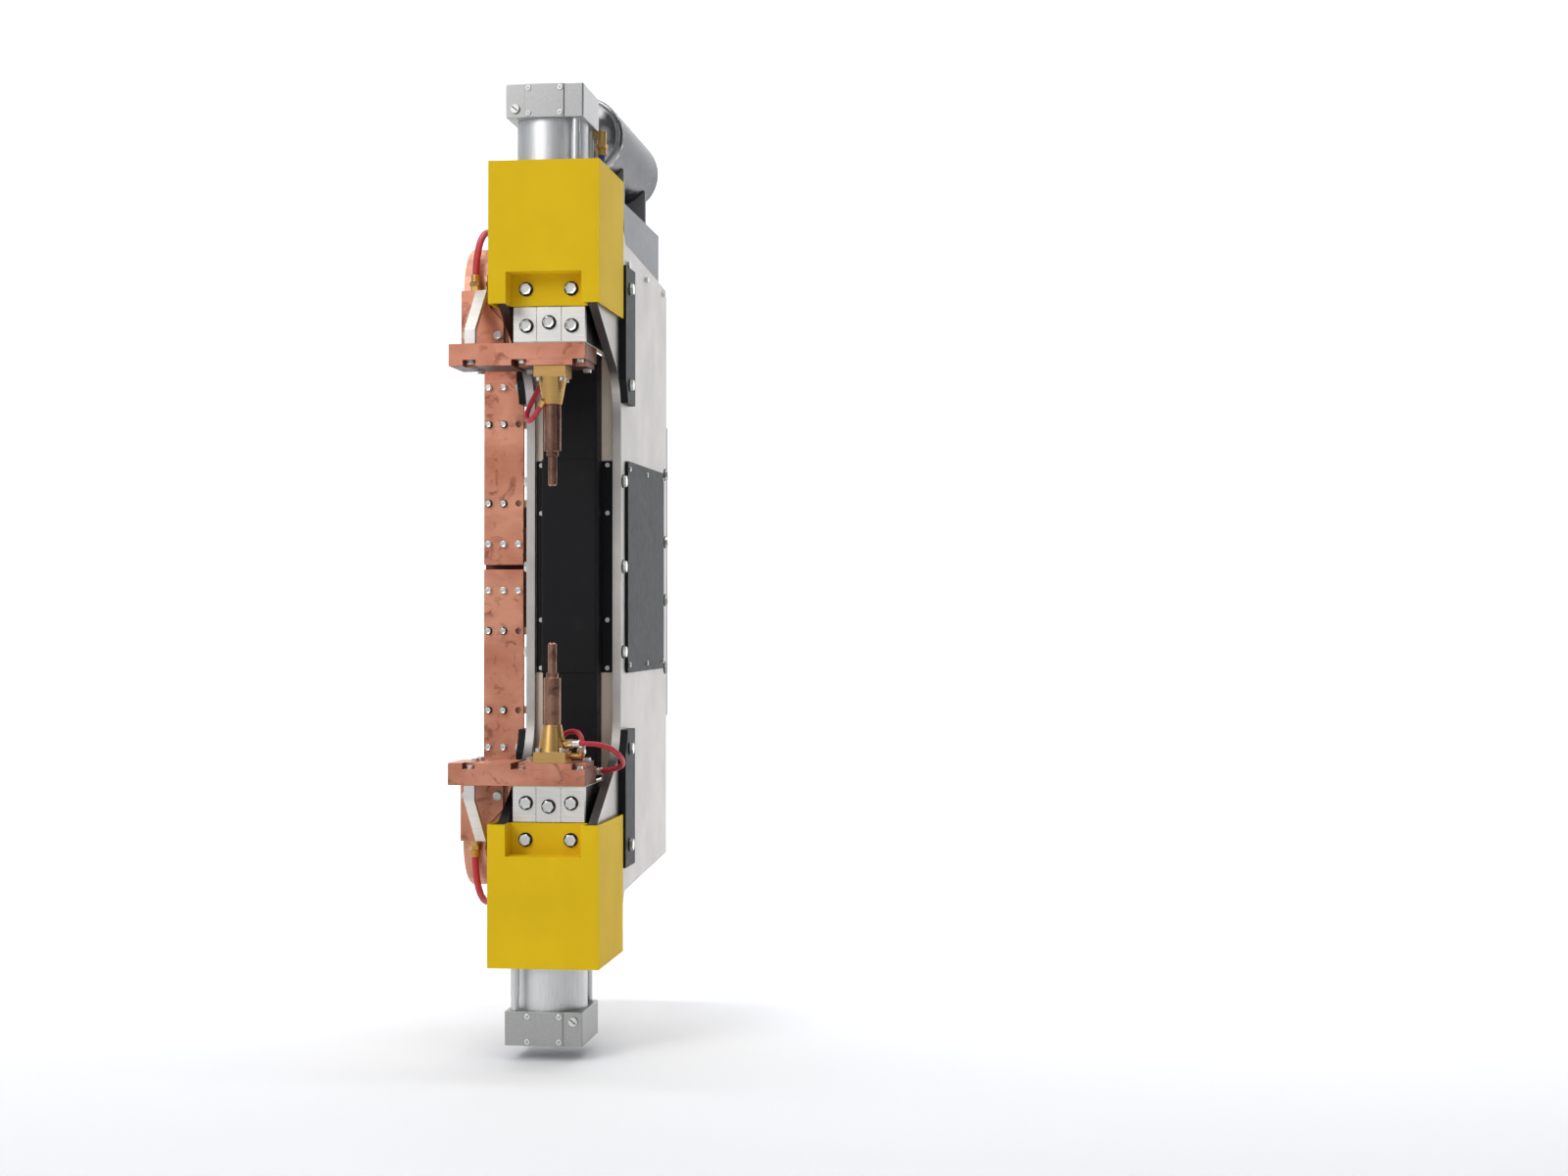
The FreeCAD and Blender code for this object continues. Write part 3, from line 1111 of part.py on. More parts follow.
def drain_valve():
    """Small drain block under the tank, with a short tube."""
    half = DRAIN_SIZE / 2
    top = TANK_HEIGHT - TANK_RADIUS + 1.0
    block = box((-half, half), (DRAIN_DEPTH - half, DRAIN_DEPTH + half), (top - DRAIN_SIZE, top))
    tank = bar(point(0, DRAIN_DEPTH - DRAIN_SIZE, TANK_HEIGHT), V(0, 1, 0), 2 * DRAIN_SIZE, TANK_RADIUS)
    block = block.cut(tank)
    bottom = top - DRAIN_SIZE
    tube = upright(0, DRAIN_DEPTH, bottom - DRAIN_TUBE_LENGTH, bottom, DRAIN_TUBE_RADIUS)
    return block.fuse(tube).removeSplitter()


def hose(name, route, radius):
    """Round hose along straight runs joined by tangent arcs. Prints its length and its bend radii."""
    edges = []
    radii = []
    start = route[0]
    for before, here, after in zip(route, route[1:], route[2:]):
        back = before - here
        ahead = after - here
        shorter = min(back.Length, ahead.Length)
        back.normalize()
        ahead.normalize()
        half_turn = (math.pi - back.getAngle(ahead)) / 2
        bend = 0.45 * shorter / math.tan(half_turn)
        reach = bend * math.tan(half_turn)
        middle = here + (back + ahead).normalize() * (bend / math.cos(half_turn) - bend)
        arc_start, arc_end = here + back * reach, here + ahead * reach
        edges.append(Part.makeLine(start, arc_start))
        edges.append(Part.Arc(arc_start, middle, arc_end).toShape())
        start = arc_end
        radii.append(round(bend, 1))
    edges.append(Part.makeLine(start, route[-1]))
    path = Part.Wire(edges)
    section = Part.Wire(Part.makeCircle(radius, route[0], route[1] - route[0]))
    solid = path.makePipeShell([section], True, True)
    share = solid.Volume / (path.Length * math.pi * radius ** 2)
    print(f"{name}: length {path.Length:.1f}, bend radii {radii}, volume share {share:.3f}")
    return solid


def water_hose(name, x):
    return hose(name, [point(-x, depth, height) for depth, height in WATER_HOSE_ROUTE], WATER_HOSE_RADIUS)


def mirrored_route(route):
    return [(x, depth, -height) for x, depth, height in route]


def export(name, solids):
    for number, solid in enumerate(solids):
        assert solid.isValid() and solid.Volume > 0, (name, number)
    shape = solids[0] if len(solids) == 1 else Part.makeCompound(solids)
    shape.exportStep(f"parts/{name}.step")


def frame_nodes():
    nodes = {
        "left_cheek": [cheek(-1)],
        "right_cheek": [cheek(1)],
        "frame_webs": frame_webs(),
        "rear_plate": [rear_plate()],
        "stiffener_plates": both_ends([stiffener(-1), stiffener(1)]),
        "throat_box": [throat_box()],
        "throat_cover": [throat_cover()],
        "side_panel": [side_panel()],
        "panel_screws": panel_screws() + throat_cover_screws(),
        "frame_bolts": frame_bolts() + both_ends(cover_bolts()),
        "transformer": [transformer()],
        "bus_plates": both_ends([bus_plate(), bus_pad()]),
        "bus_spacer_bars": both_ends(spacer_bars()),
        "bus_bolts": both_ends(bus_bolts()),
        "front_plates": both_ends(front_plates()),
        "upper_cover": [cover()],
        "lower_cover": [mirrored(cover())],
        "guide_carriages": both_ends([carriage(-1), carriage(1)]),
        "cylinder_blocks": both_ends(cylinder_blocks()),
        "cylinder_tubes": both_ends([cylinder_tube()]) + transfer_tubes() + [turned(tube) for tube in transfer_tubes()],
        "head_fittings": head_fittings() + [turned(piece) for piece in head_fittings()],
        "air_fittings": air_fittings() + [turned(piece) for piece in air_fittings()] + [drain_valve()],
        "water_manifolds": both_ends([manifold()] + manifold_fittings()),
        "air_tank": [air_tank()],
        "tank_supports": tank_supports(),
    }
    return nodes


def ram_nodes(end, place):
    """Nodes of one ram. place puts an upper piece at this end."""
    pieces = {
        "ram_block": [ram_block()],
        "slide": slide(),
        "piston": [piston()],
        "insulating_sheet": [insulating_sheet()],
        "arm": [arm()],
        "electrode_plate": [electrode_plate()],
        "electrode_holder": [electrode_holder()],
        "electrode": electrode(),
        "terminal": [terminal()],
        "brace_strap": [brace_strap()],
        "ram_bolts": ram_bolts(),
        "flex_band": flex_band(),
    }
    return {f"{end}_{name}": [place(solid) for solid in solids] for name, solids in pieces.items()}


def fitting_nodes():
    """Hose fittings that move with the rams."""
    upper = terminal_fittings() + upper_electrode_fittings()
    lower = terminal_fittings() + lower_electrode_fittings() + lower_cooling_fittings()
    return {"upper_ram_fittings": upper, "lower_ram_fittings": [mirrored(solid) for solid in lower]}


def hose_nodes():
    nodes = {}
    for number, x in enumerate(WATER_HOSE_X, start=1):
        upper = water_hose(f"upper_water_hose_{number}", x)
        nodes[f"upper_water_hose_{number}"] = [upper]
        nodes[f"lower_water_hose_{number}"] = [mirrored(upper)]
    upper = route_points(UPPER_ELECTRODE_ROUTE)
    lower = route_points(mirrored_route(LOWER_ELECTRODE_ROUTE))
    nodes["upper_electrode_hose"] = [hose("upper_electrode_hose", upper, ELECTRODE_HOSE_RADIUS)]
    nodes["lower_electrode_hose"] = [hose("lower_electrode_hose", lower, ELECTRODE_HOSE_RADIUS)]
    cooling = route_points(mirrored_route(LOWER_COOLING_ROUTE))
    nodes["lower_cooling_hose"] = [hose("lower_cooling_hose", cooling, ELECTRODE_HOSE_RADIUS)]
    air = hose("air_hose", route_points(AIR_HOSE_ROUTE), AIR_HOSE_RADIUS)
    nodes["upper_air_hose"] = [air]
    nodes["lower_air_hose"] = [turned(air)]
    return nodes


def main():
    os.makedirs("parts", exist_ok=True)
    nodes = frame_nodes()
    nodes.update(ram_nodes("upper", lambda solid: solid))
    nodes.update(ram_nodes("lower", mirrored))
    nodes.update(fitting_nodes())
    nodes.update(hose_nodes())
    for name, solids in nodes.items():
        export(name, solids)
    print(len(nodes), "nodes")


main()
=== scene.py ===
# %% [markdown]
# A C-frame spot welder
# This machine squeezes sheet metal between two copper electrodes and sends a large current
# through them. Two air cylinders push the electrodes together, and a pair of thick side plates in
# the shape of a C takes the force. The rigid pieces come ready made from the engineering model.
# This lesson dresses them. Camera and light come first, then the finish of every surface, then
# hoses and bands, and last the bolts and small fittings.

# %% Load the frame
import math
import bpy
import bmesh
from mathutils import Matrix, Vector


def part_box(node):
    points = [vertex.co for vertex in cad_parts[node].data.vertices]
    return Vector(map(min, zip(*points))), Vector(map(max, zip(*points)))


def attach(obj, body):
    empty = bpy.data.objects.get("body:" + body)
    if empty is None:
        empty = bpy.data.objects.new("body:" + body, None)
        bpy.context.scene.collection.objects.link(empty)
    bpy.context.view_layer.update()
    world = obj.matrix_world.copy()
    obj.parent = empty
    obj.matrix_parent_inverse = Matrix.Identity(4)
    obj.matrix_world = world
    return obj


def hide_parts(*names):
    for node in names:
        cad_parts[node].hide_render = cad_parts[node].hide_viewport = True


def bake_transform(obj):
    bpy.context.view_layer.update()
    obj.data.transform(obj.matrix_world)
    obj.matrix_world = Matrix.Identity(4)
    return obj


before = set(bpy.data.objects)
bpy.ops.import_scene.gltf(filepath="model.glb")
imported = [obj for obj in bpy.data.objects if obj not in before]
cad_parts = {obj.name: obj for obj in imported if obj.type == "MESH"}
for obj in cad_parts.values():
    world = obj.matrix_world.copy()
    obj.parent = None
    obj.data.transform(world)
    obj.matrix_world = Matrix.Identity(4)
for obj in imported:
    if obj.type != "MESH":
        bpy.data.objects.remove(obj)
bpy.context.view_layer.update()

# %% [markdown]
# Camera
# The photograph was taken from the right of the machine and a little below its middle, from about
# four metres. A lens of about 53 mm gives the same perspective. The camera turns left without any
# shift, so that the lines that run backwards meet at the same vanishing point.

# %% Camera
PHOTO_WIDTH = 1600
FOCAL_PIXELS = 2350
SENSOR_WIDTH = 36.0
CAMERA_PLACE = (0.8953, -4.755, -0.0885)
CAMERA_YAW = 6.718
CAMERA_PITCH = 0.643

camera_data = bpy.data.cameras.new("camera")
camera_data.sensor_width = SENSOR_WIDTH
camera_data.lens = FOCAL_PIXELS / PHOTO_WIDTH * SENSOR_WIDTH
camera = bpy.data.objects.new("camera", camera_data)
camera.location = CAMERA_PLACE
camera.rotation_euler = (math.radians(90 + CAMERA_PITCH), 0, math.radians(CAMERA_YAW))
bpy.context.scene.collection.objects.link(camera)
bpy.context.scene.camera = camera
print("lens:", round(camera_data.lens, 1), "mm")

# %% [markdown]
# Light and floor
# A machine with bare metal needs something to reflect. The sky is bright on the left and dark on
# the right, so the right sides of the covers fall into shade as in the photograph. Large soft
# lamps give broad highlights on the round parts, and a pale floor that curves up into a wall
# gives the plain background of a studio.

# %% Light and floor
FLOOR_HEIGHT = -0.875
STAGE_HALF_WIDTH = 9.0
STAGE_FRONT = -9.0
STAGE_BACK = 4.0
STAGE_BEND = 2.0
STAGE_TOP = 7.0
BEND_STEPS = 12

def add_mesh(name, vertices, faces):
    mesh = bpy.data.meshes.new(name)
    mesh.from_pydata([tuple(v) for v in vertices], [], faces)
    mesh.update()
    piece = bpy.data.objects.new(name, mesh)
    bpy.context.scene.collection.objects.link(piece)
    return piece

profile = [(STAGE_FRONT, FLOOR_HEIGHT)]
for step in range(BEND_STEPS + 1):
    angle = math.pi / 2 * step / BEND_STEPS
    rise = STAGE_BEND * (1 - math.cos(angle))
    profile.append((STAGE_BACK + STAGE_BEND * math.sin(angle), FLOOR_HEIGHT + rise))
profile.append((STAGE_BACK + STAGE_BEND, STAGE_TOP))
stage_points = [Vector((x, y, z)) for y, z in profile for x in (-STAGE_HALF_WIDTH, STAGE_HALF_WIDTH)]
stage_faces = [(2 * n, 2 * n + 1, 2 * n + 3, 2 * n + 2) for n in range(len(profile) - 1)]
stage = add_mesh("studio_floor", stage_points, stage_faces)
for face in stage.data.polygons:
    face.use_smooth = True

def area_light(name, place, target, size, power):
    data = bpy.data.lights.new(name, "AREA")
    data.shape = "RECTANGLE"
    data.size, data.size_y = size
    data.energy = power
    lamp = bpy.data.objects.new(name, data)
    lamp.location = place
    lamp.rotation_euler = (Vector(target) - Vector(place)).to_track_quat("-Z", "Y").to_euler()
    bpy.context.scene.collection.objects.link(lamp)

area_light("key_light", (-2.4, -4.6, 2.8), (0, -0.6, 0.1), (2.0, 2.6), 92)
area_light("fill_light", (3.2, -3.0, 1.6), (0, -0.6, 0.0), (1.4, 2.4), 6)
area_light("top_light", (0.3, -1.4, 3.4), (0, -0.5, 0.0), (2.5, 1.5), 30)
area_light("wall_light", (0, 1.8, 4.6), (0, 6.0, 0.2), (9.0, 1.5), 520)

SKY_COLOUR = (0.93, 0.96, 1.0, 1)
SKY_FADE = {"From Min": -0.1, "From Max": 0.7, "To Min": 0.5, "To Max": 0.1}
world = bpy.data.worlds.new("studio")
world.use_nodes = True
background = world.node_tree.nodes["Background"]
background.inputs["Color"].default_value = SKY_COLOUR
direction = world.node_tree.nodes.new("ShaderNodeTexCoord")
split = world.node_tree.nodes.new("ShaderNodeSeparateXYZ")
fade = world.node_tree.nodes.new("ShaderNodeMapRange")
for socket, value in SKY_FADE.items():
    fade.inputs[socket].default_value = value
world.node_tree.links.new(direction.outputs["Generated"], split.inputs["Vector"])
world.node_tree.links.new(split.outputs["X"], fade.inputs["Value"])
world.node_tree.links.new(fade.outputs["Result"], background.inputs["Strength"])
bpy.context.scene.world = world
bpy.context.scene.view_settings.view_transform = "Standard"
print("floor at", FLOOR_HEIGHT)

# %% [markdown]
# Finishes
# Each finish is a small node tree. Object coordinates are used throughout, because every piece is
# modelled in metres in one frame, so a noise of scale 50 has blotches of about 20 mm on every
# piece alike. A shared helper makes the shader. Colours are written as a display shows them, and
# turned into scene colours.

# %% Colours and the shader
def linear(red, green, blue):
    """Scene colour of an 8-bit display colour."""
    def one(value):
        share = value / 255
        return share / 12.92 if share <= 0.04045 else ((share + 0.055) / 1.055) ** 2.4
    return (one(red), one(green), one(blue), 1)

def grey(level):
    return (level, level, level, 1)

def start_finish(name, roughness, metallic=0.0, coat=0.0):
    """New material and its shader, with the constants set on the shader itself."""
    material = bpy.data.materials.new(name)
    material.use_nodes = True
    shader = material.node_tree.nodes["Principled BSDF"]
    shader.inputs["Roughness"].default_value = roughness
    shader.inputs["Metallic"].default_value = metallic
    shader.inputs["Coat Weight"].default_value = coat
    return material, shader

print("mid grey is", round(linear(128, 128, 128)[0], 3))

# %% [markdown]
# Patterns
# Real surfaces are never one even colour. A noise gives blotches, or marks when its space is
# squeezed in one direction. A ramp turns it into colours, and a mix lays one pattern over
# another. The mix node has sockets of the same name for each kind of value, so its colour sockets
# are found by their number.

# %% Patterns
MIX_FIRST = 6
MIX_SECOND = 7
MIX_RESULT = 2

def object_coordinates(material, scale=(1, 1, 1), turn=(0, 0, 0)):
    nodes, links = material.node_tree.nodes, material.node_tree.links
    source = nodes.new("ShaderNodeTexCoord")
    mapping = nodes.new("ShaderNodeMapping")
    mapping.inputs["Scale"].default_value = scale
    mapping.inputs["Rotation"].default_value = [math.radians(angle) for angle in turn]
    links.new(source.outputs["Object"], mapping.inputs["Vector"])
    return mapping.outputs["Vector"]

def noise(material, scale, detail=3.0, stretch=(1, 1, 1), turn=(0, 0, 0), distortion=0.0):
    texture = material.node_tree.nodes.new("ShaderNodeTexNoise")
    texture.inputs["Scale"].default_value = scale
    texture.inputs["Detail"].default_value = detail
    texture.inputs["Distortion"].default_value = distortion
    material.node_tree.links.new(object_coordinates(material, stretch, turn), texture.inputs["Vector"])
    return texture.outputs["Fac"]

def ramp(material, source, stops):
    """Colour ramp over stops of (position, colour)."""
    node = material.node_tree.nodes.new("ShaderNodeValToRGB")
    elements = node.color_ramp.elements
    for index, (position, colour) in enumerate(stops):
        element = elements[index] if index < 2 else elements.new(position)
        element.position = position
        element.color = colour
    material.node_tree.links.new(source, node.inputs["Fac"])
    return node.outputs["Color"]

def mixed(material, factor, first, second, blend_type="MIX"):
    node = material.node_tree.nodes.new("ShaderNodeMix")
    node.data_type = "RGBA"
    node.blend_type = blend_type
    links = material.node_tree.links
    sockets = (node.inputs["Factor"], node.inputs[MIX_FIRST], node.inputs[MIX_SECOND])
    for socket, value in zip(sockets, (factor, first, second)):
        if isinstance(value, bpy.types.NodeSocket):
            links.new(value, socket)
        else:
            socket.default_value = value
    return node.outputs[MIX_RESULT]

print("patterns ready")

# %% [markdown]
# From pattern to shader
# A pattern drives the colour, the roughness or the bump of a shader. The bump is a relief of
# about a tenth of a millimetre at most, because every visible shape is real geometry.

# %% From pattern to shader
def set_colour(material, shader, socket):
    material.node_tree.links.new(socket, shader.inputs["Base Color"])

def set_roughness(material, shader, source, low, high):
    node = material.node_tree.nodes.new("ShaderNodeMapRange")
    node.inputs["To Min"].default_value = low
    node.inputs["To Max"].default_value = high
    material.node_tree.links.new(source, node.inputs["Value"])
    material.node_tree.links.new(node.outputs["Result"], shader.inputs["Roughness"])

def set_bump(material, shader, source, strength, distance=0.001):
    node = material.node_tree.nodes.new("ShaderNodeBump")
    node.inputs["Strength"].default_value = strength
    node.inputs["Distance"].default_value = distance
    material.node_tree.links.new(source, node.inputs["Height"])
    material.node_tree.links.new(node.outputs["Normal"], shader.inputs["Normal"])

print("shader helpers ready")

# %% [markdown]
# Paint
# Powder coat is a smooth plastic skin with a very fine orange peel. A broad noise shifts its
# shade slightly, and a second, finer one feeds the bump.

# %% Painted finishes
def paint(name, colour, roughness, peel=0.12, shift=0.08, dirt=None, gloss=0.5):
    material, shader = start_finish(name, roughness)
    shader.inputs["Specular IOR Level"].default_value = gloss
    broad = noise(material, 7, 3)
    shade = tuple(channel * (1 - shift) for channel in colour[:3]) + (1,)
    base = ramp(material, broad, [(0.35, shade), (0.65, colour)])
    if dirt is not None:
        smudge = ramp(material, noise(material, 16, 6, distortion=0.6), [(0.56, grey(0)), (0.74, grey(0.5))])
        base = mixed(material, smudge, base, dirt)
    set_colour(material, shader, base)
    set_roughness(material, shader, noise(material, 60, 4), roughness - 0.06, roughness + 0.1)
    set_bump(material, shader, noise(material, 900, 2), peel, 0.0004)
    return material

yellow = paint("yellow_powder_coat", linear(234, 194, 24), 0.6, gloss=0.12)
black = paint("black_powder_coat", linear(22, 22, 24), 0.5, dirt=linear(36, 35, 34), gloss=0.18)
grey_coat = paint("grey_paint", linear(128, 129, 131), 0.45)
resin = paint("transformer_resin", linear(92, 26, 28), 0.5, peel=0.3)
print("paints:", yellow.name, black.name)

# %% [markdown]
# Milled and turned metal
# A cutter leaves fine parallel marks, here a noise that is squeezed about thirty times in one
# direction and turned on the slant. It drives both the roughness and a shallow bump, so the marks
# catch the light. The sloping edges of the side plates get painted shade: a mask from the direction
# of each face darkens those that look up or down.

# %% Metal finishes
def metal(name, colour, roughness, marks=(1, 1, 40), turn=(0, 35, 0), shift=0.15, mark_scale=22, depth=0.1):
    material, shader = start_finish(name, roughness, metallic=1.0)
    broad = noise(material, 9, 4, distortion=0.3)
    shade = tuple(channel * (1 - shift) for channel in colour[:3]) + (1,)
    base = ramp(material, broad, [(0.3, shade), (0.7, colour)])
    lines = noise(material, mark_scale, 5, stretch=marks, turn=turn)
    base = mixed(material, 0.35, base, ramp(material, lines, [(0.3, grey(0.55)), (0.7, grey(1))]), "MULTIPLY")
    set_colour(material, shader, base)
    set_roughness(material, shader, lines, roughness - 0.08, roughness + 0.12)
    set_bump(material, shader, lines, depth, 0.0003)
    return material

def paint_slope_shade(material, shader, dark):
    """Painted shade: darken the faces that look up or down, the sloping edges of the arms, in a dark colour.
    """
    nodes, links = material.node_tree.nodes, material.node_tree.links
    split = nodes.new("ShaderNodeSeparateXYZ")
    links.new(nodes.new("ShaderNodeNewGeometry").outputs["Normal"], split.inputs["Vector"])
    size = nodes.new("ShaderNodeMath")
    size.operation = "ABSOLUTE"
    links.new(split.outputs["Z"], size.inputs[0])
    mask = ramp(material, size.outputs[0], [(0.45, grey(0)), (0.8, grey(1))])
    before = shader.inputs["Base Color"].links[0].from_socket
    set_colour(material, shader, mixed(material, mask, before, dark))

cheek_metal = metal("cheek_aluminium", linear(212, 207, 202), 0.5, marks=(1, 30, 1), turn=(20, 0, 0))
# Painted shade on the sloping edges of the side plates.
paint_slope_shade(cheek_metal, cheek_metal.node_tree.nodes["Principled BSDF"], linear(92, 87, 85))
milled = metal("milled_aluminium", linear(250, 246, 240), 0.42, marks=(1, 1, 30), turn=(0, 38, 0))
strip_metal = paint("strip_finish", linear(250, 232, 212), 0.5, gloss=0.2)
tube_metal = metal("drawn_aluminium_tube", linear(232, 233, 233), 0.46, marks=(12, 12, 1), turn=(0, 0, 0),
                   depth=0.01, shift=0.05)
anodised = metal("anodised_aluminium", linear(186, 186, 184), 0.42, marks=(12, 12, 12), turn=(0, 0, 0),
                 depth=0.02, shift=0.06)
steel = metal("zinc_plated_steel", linear(236, 236, 230), 0.3, marks=(1, 1, 1), depth=0.01, shift=0.04)
black_steel = metal("blackened_steel", linear(58, 56, 56), 0.42, marks=(4, 4, 4), depth=0.15)
polished = metal("polished_steel", linear(168, 167, 168), 0.22, marks=(6, 2, 6), turn=(0, 0, 0), depth=0.004,
                 shift=0.1)
polished.node_tree.nodes["Principled BSDF"].inputs["Specular Tint"].default_value = grey(0.35)
brass = metal("turned_brass", linear(232, 186, 116), 0.32, marks=(1, 1, 40), turn=(0, 0, 0), depth=0.05)
print("metals:", cheek_metal.name, brass.name)

# %% [markdown]
# Copper
# Bare copper that carries current and cooling water never stays clean. Pink clean metal, brown
# oxide and a few dark stains are mixed by noises of three sizes. The faces that look down, and
# the right ends of the arms, are darker still: painted shade, for the shade under the arms and
# from what stands beside them.

# %% Copper finishes
def copper_finish(name, clean, oxide, stain, roughness, stain_amount=0.6, metallic=0.85):
    material, shader = start_finish(name, roughness, metallic=metallic)
    base = ramp(material, noise(material, 11, 5, distortion=0.8), [(0.34, oxide), (0.62, clean)])
    blot_noise = noise(material, 34, 6, distortion=1.2)
    blots = ramp(material, blot_noise, [(0.56, grey(0)), (0.7, grey(stain_amount))])
    base = mixed(material, blots, base, stain)
    cutter = noise(material, 30, 4, stretch=(1, 1, 28), turn=(0, 78, 0))
    base = mixed(material, 0.25, base, ramp(material, cutter, [(0.3, grey(0.7)), (0.7, grey(1))]), "MULTIPLY")
    set_colour(material, shader, base)
    set_roughness(material, shader, noise(material, 25, 4), roughness - 0.1, roughness + 0.15)
    set_bump(material, shader, cutter, 0.02, 0.0003)
    return material

def paint_underside_shade(material, shader, dark):
    """Painted shade: darken the faces that look down, and the faces at the right ends."""
    nodes, links = material.node_tree.nodes, material.node_tree.links
    split = nodes.new("ShaderNodeSeparateXYZ")
    links.new(nodes.new("ShaderNodeNewGeometry").outputs["Normal"], split.inputs["Vector"])
    # Painted shade on the faces that look down.
    down = nodes.new("ShaderNodeMath")
    down.operation = "MULTIPLY"
    down.inputs[1].default_value = -1
    links.new(split.outputs["Z"], down.inputs[0])
    mask = ramp(material, down.outputs[0], [(0.4, grey(0)), (0.8, grey(0.9))])
    before = shader.inputs["Base Color"].links[0].from_socket
    set_colour(material, shader, mixed(material, mask, before, dark))
    # Painted shade on the faces at the right ends of the arms.
    end_mask = ramp(material, split.outputs["X"], [(0.6, grey(0)), (0.9, grey(0.75))])
    before = shader.inputs["Base Color"].links[0].from_socket
    set_colour(material, shader, mixed(material, end_mask, before, linear(84, 48, 40)))

worn_copper = linear(196, 126, 100)
copper = copper_finish("milled_copper", linear(222, 154, 128), worn_copper, linear(118, 64, 50), 0.45)
# Painted shade on the undersides and right ends of the copper arms.
paint_underside_shade(copper, copper.node_tree.nodes["Principled BSDF"], linear(52, 38, 52))
bus_copper = copper_finish("bus_copper", linear(226, 160, 132), worn_copper, linear(120, 66, 52), 0.5)
band_copper = copper_finish("band_copper", linear(226, 170, 146), linear(206, 142, 118), linear(150, 96, 78),
                            0.4, 0.3)
dark_copper = copper_finish("oxidised_copper", linear(178, 134, 114), linear(128, 92, 80), linear(84, 58, 50),
                            0.26, metallic=1.0)
print("coppers:", copper.name, dark_copper.name)

# %% [markdown]
# Rubber, tube and insulation
# These are not metals, so their colour comes from the body of the material. Rubber is dull with a
# soft sheen.

# %% Soft finishes
def polymer(name, colour, roughness, bump=0.1, scale=300, coat=0.0):
    material, shader = start_finish(name, roughness, coat=coat)
    shade = tuple(channel * 0.82 for channel in colour[:3]) + (1,)
    set_colour(material, shader, ramp(material, noise(material, 30, 4), [(0.35, shade), (0.65, colour)]))
    set_bump(material, shader, noise(material, scale, 3), bump, 0.0004)
    return material

red_rubber = polymer("red_water_hose", linear(196, 46, 62), 0.45)
blue_tube = polymer("blue_air_tube", linear(36, 84, 170), 0.3, coat=0.3)
cream = polymer("cream_laminate", linear(222, 212, 186), 0.5)
pale_floor, floor_shader = start_finish("pale_floor", 0.7)
floor_shader.inputs["Base Color"].default_value = linear(244, 245, 247)
stage.data.materials.append(pale_floor)
print("soft finishes:", red_rubber.name)

# %% [markdown]
# Dress the CAD pieces
# A CAD piece keeps its mesh and place. A weld modifier joins the facets that the file keeps
# apart, and flat faces are merged into single ones. A small bevel breaks every sharp edge, so
# edges catch a thin line of light as real ones do, and weighted normals keep the large flat faces
# free of shading streaks.

# %% Dress the CAD pieces
FINISH_OF = {
    "left_cheek": cheek_metal, "right_cheek": cheek_metal, "frame_webs": strip_metal, "rear_plate": grey_coat,
    "stiffener_plates": black, "throat_box": black, "throat_cover": black, "side_panel": black,
    "panel_screws": steel, "frame_bolts": steel, "transformer": resin, "bus_plates": bus_copper,
    "bus_spacer_bars": cream, "bus_bolts": steel, "front_plates": black_steel, "upper_cover": yellow,
    "lower_cover": yellow, "guide_carriages": steel, "cylinder_blocks": anodised,
    "cylinder_tubes": tube_metal, "head_fittings": anodised, "air_fittings": brass,
    "water_manifolds": brass, "air_tank": polished, "tank_supports": grey_coat,
}
RAM_FINISH_OF = {
    "ram_block": milled, "slide": black_steel, "piston": polished, "insulating_sheet": cream, "arm": copper,
    "electrode_plate": copper, "electrode_holder": brass, "electrode": dark_copper, "terminal": copper,
    "brace_strap": milled, "ram_bolts": steel, "ram_fittings": brass, "flex_band": band_copper,
    "water_hose_1": red_rubber, "water_hose_2": red_rubber, "electrode_hose": red_rubber,
    "cooling_hose": red_rubber, "air_hose": blue_tube,
}
BEVEL_WIDTH = 0.0009
SHARP_ANGLE = math.radians(32)
FLAT_ANGLE = math.radians(1)
MERGE_DISTANCE = 0.00001

def finish_for(node):
    for end in ("upper_", "lower_"):
        if node.startswith(end) and node[len(end):] in RAM_FINISH_OF:
            return RAM_FINISH_OF[node[len(end):]]
    return FINISH_OF[node]

def dress(piece, finish):
    piece.data.materials.clear()
    piece.data.materials.append(finish)
    weld = piece.modifiers.new("join_facets", "WELD")
    weld.merge_threshold = MERGE_DISTANCE
    flat = piece.modifiers.new("flat_faces", "DECIMATE")
    flat.decimate_type = "DISSOLVE"
    flat.angle_limit = FLAT_ANGLE
    bevel = piece.modifiers.new("broken_edges", "BEVEL")
    bevel.width = BEVEL_WIDTH
    bevel.segments = 2
    bevel.limit_method = "ANGLE"
    bevel.angle_limit = SHARP_ANGLE
    normals = piece.modifiers.new("even_flats", "WEIGHTED_NORMAL")
    normals.keep_sharp = True

for node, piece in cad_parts.items():
    for face in piece.data.polygons:
        face.use_smooth = True
    dress(piece, finish_for(node))
print("dressed:", len(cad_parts))
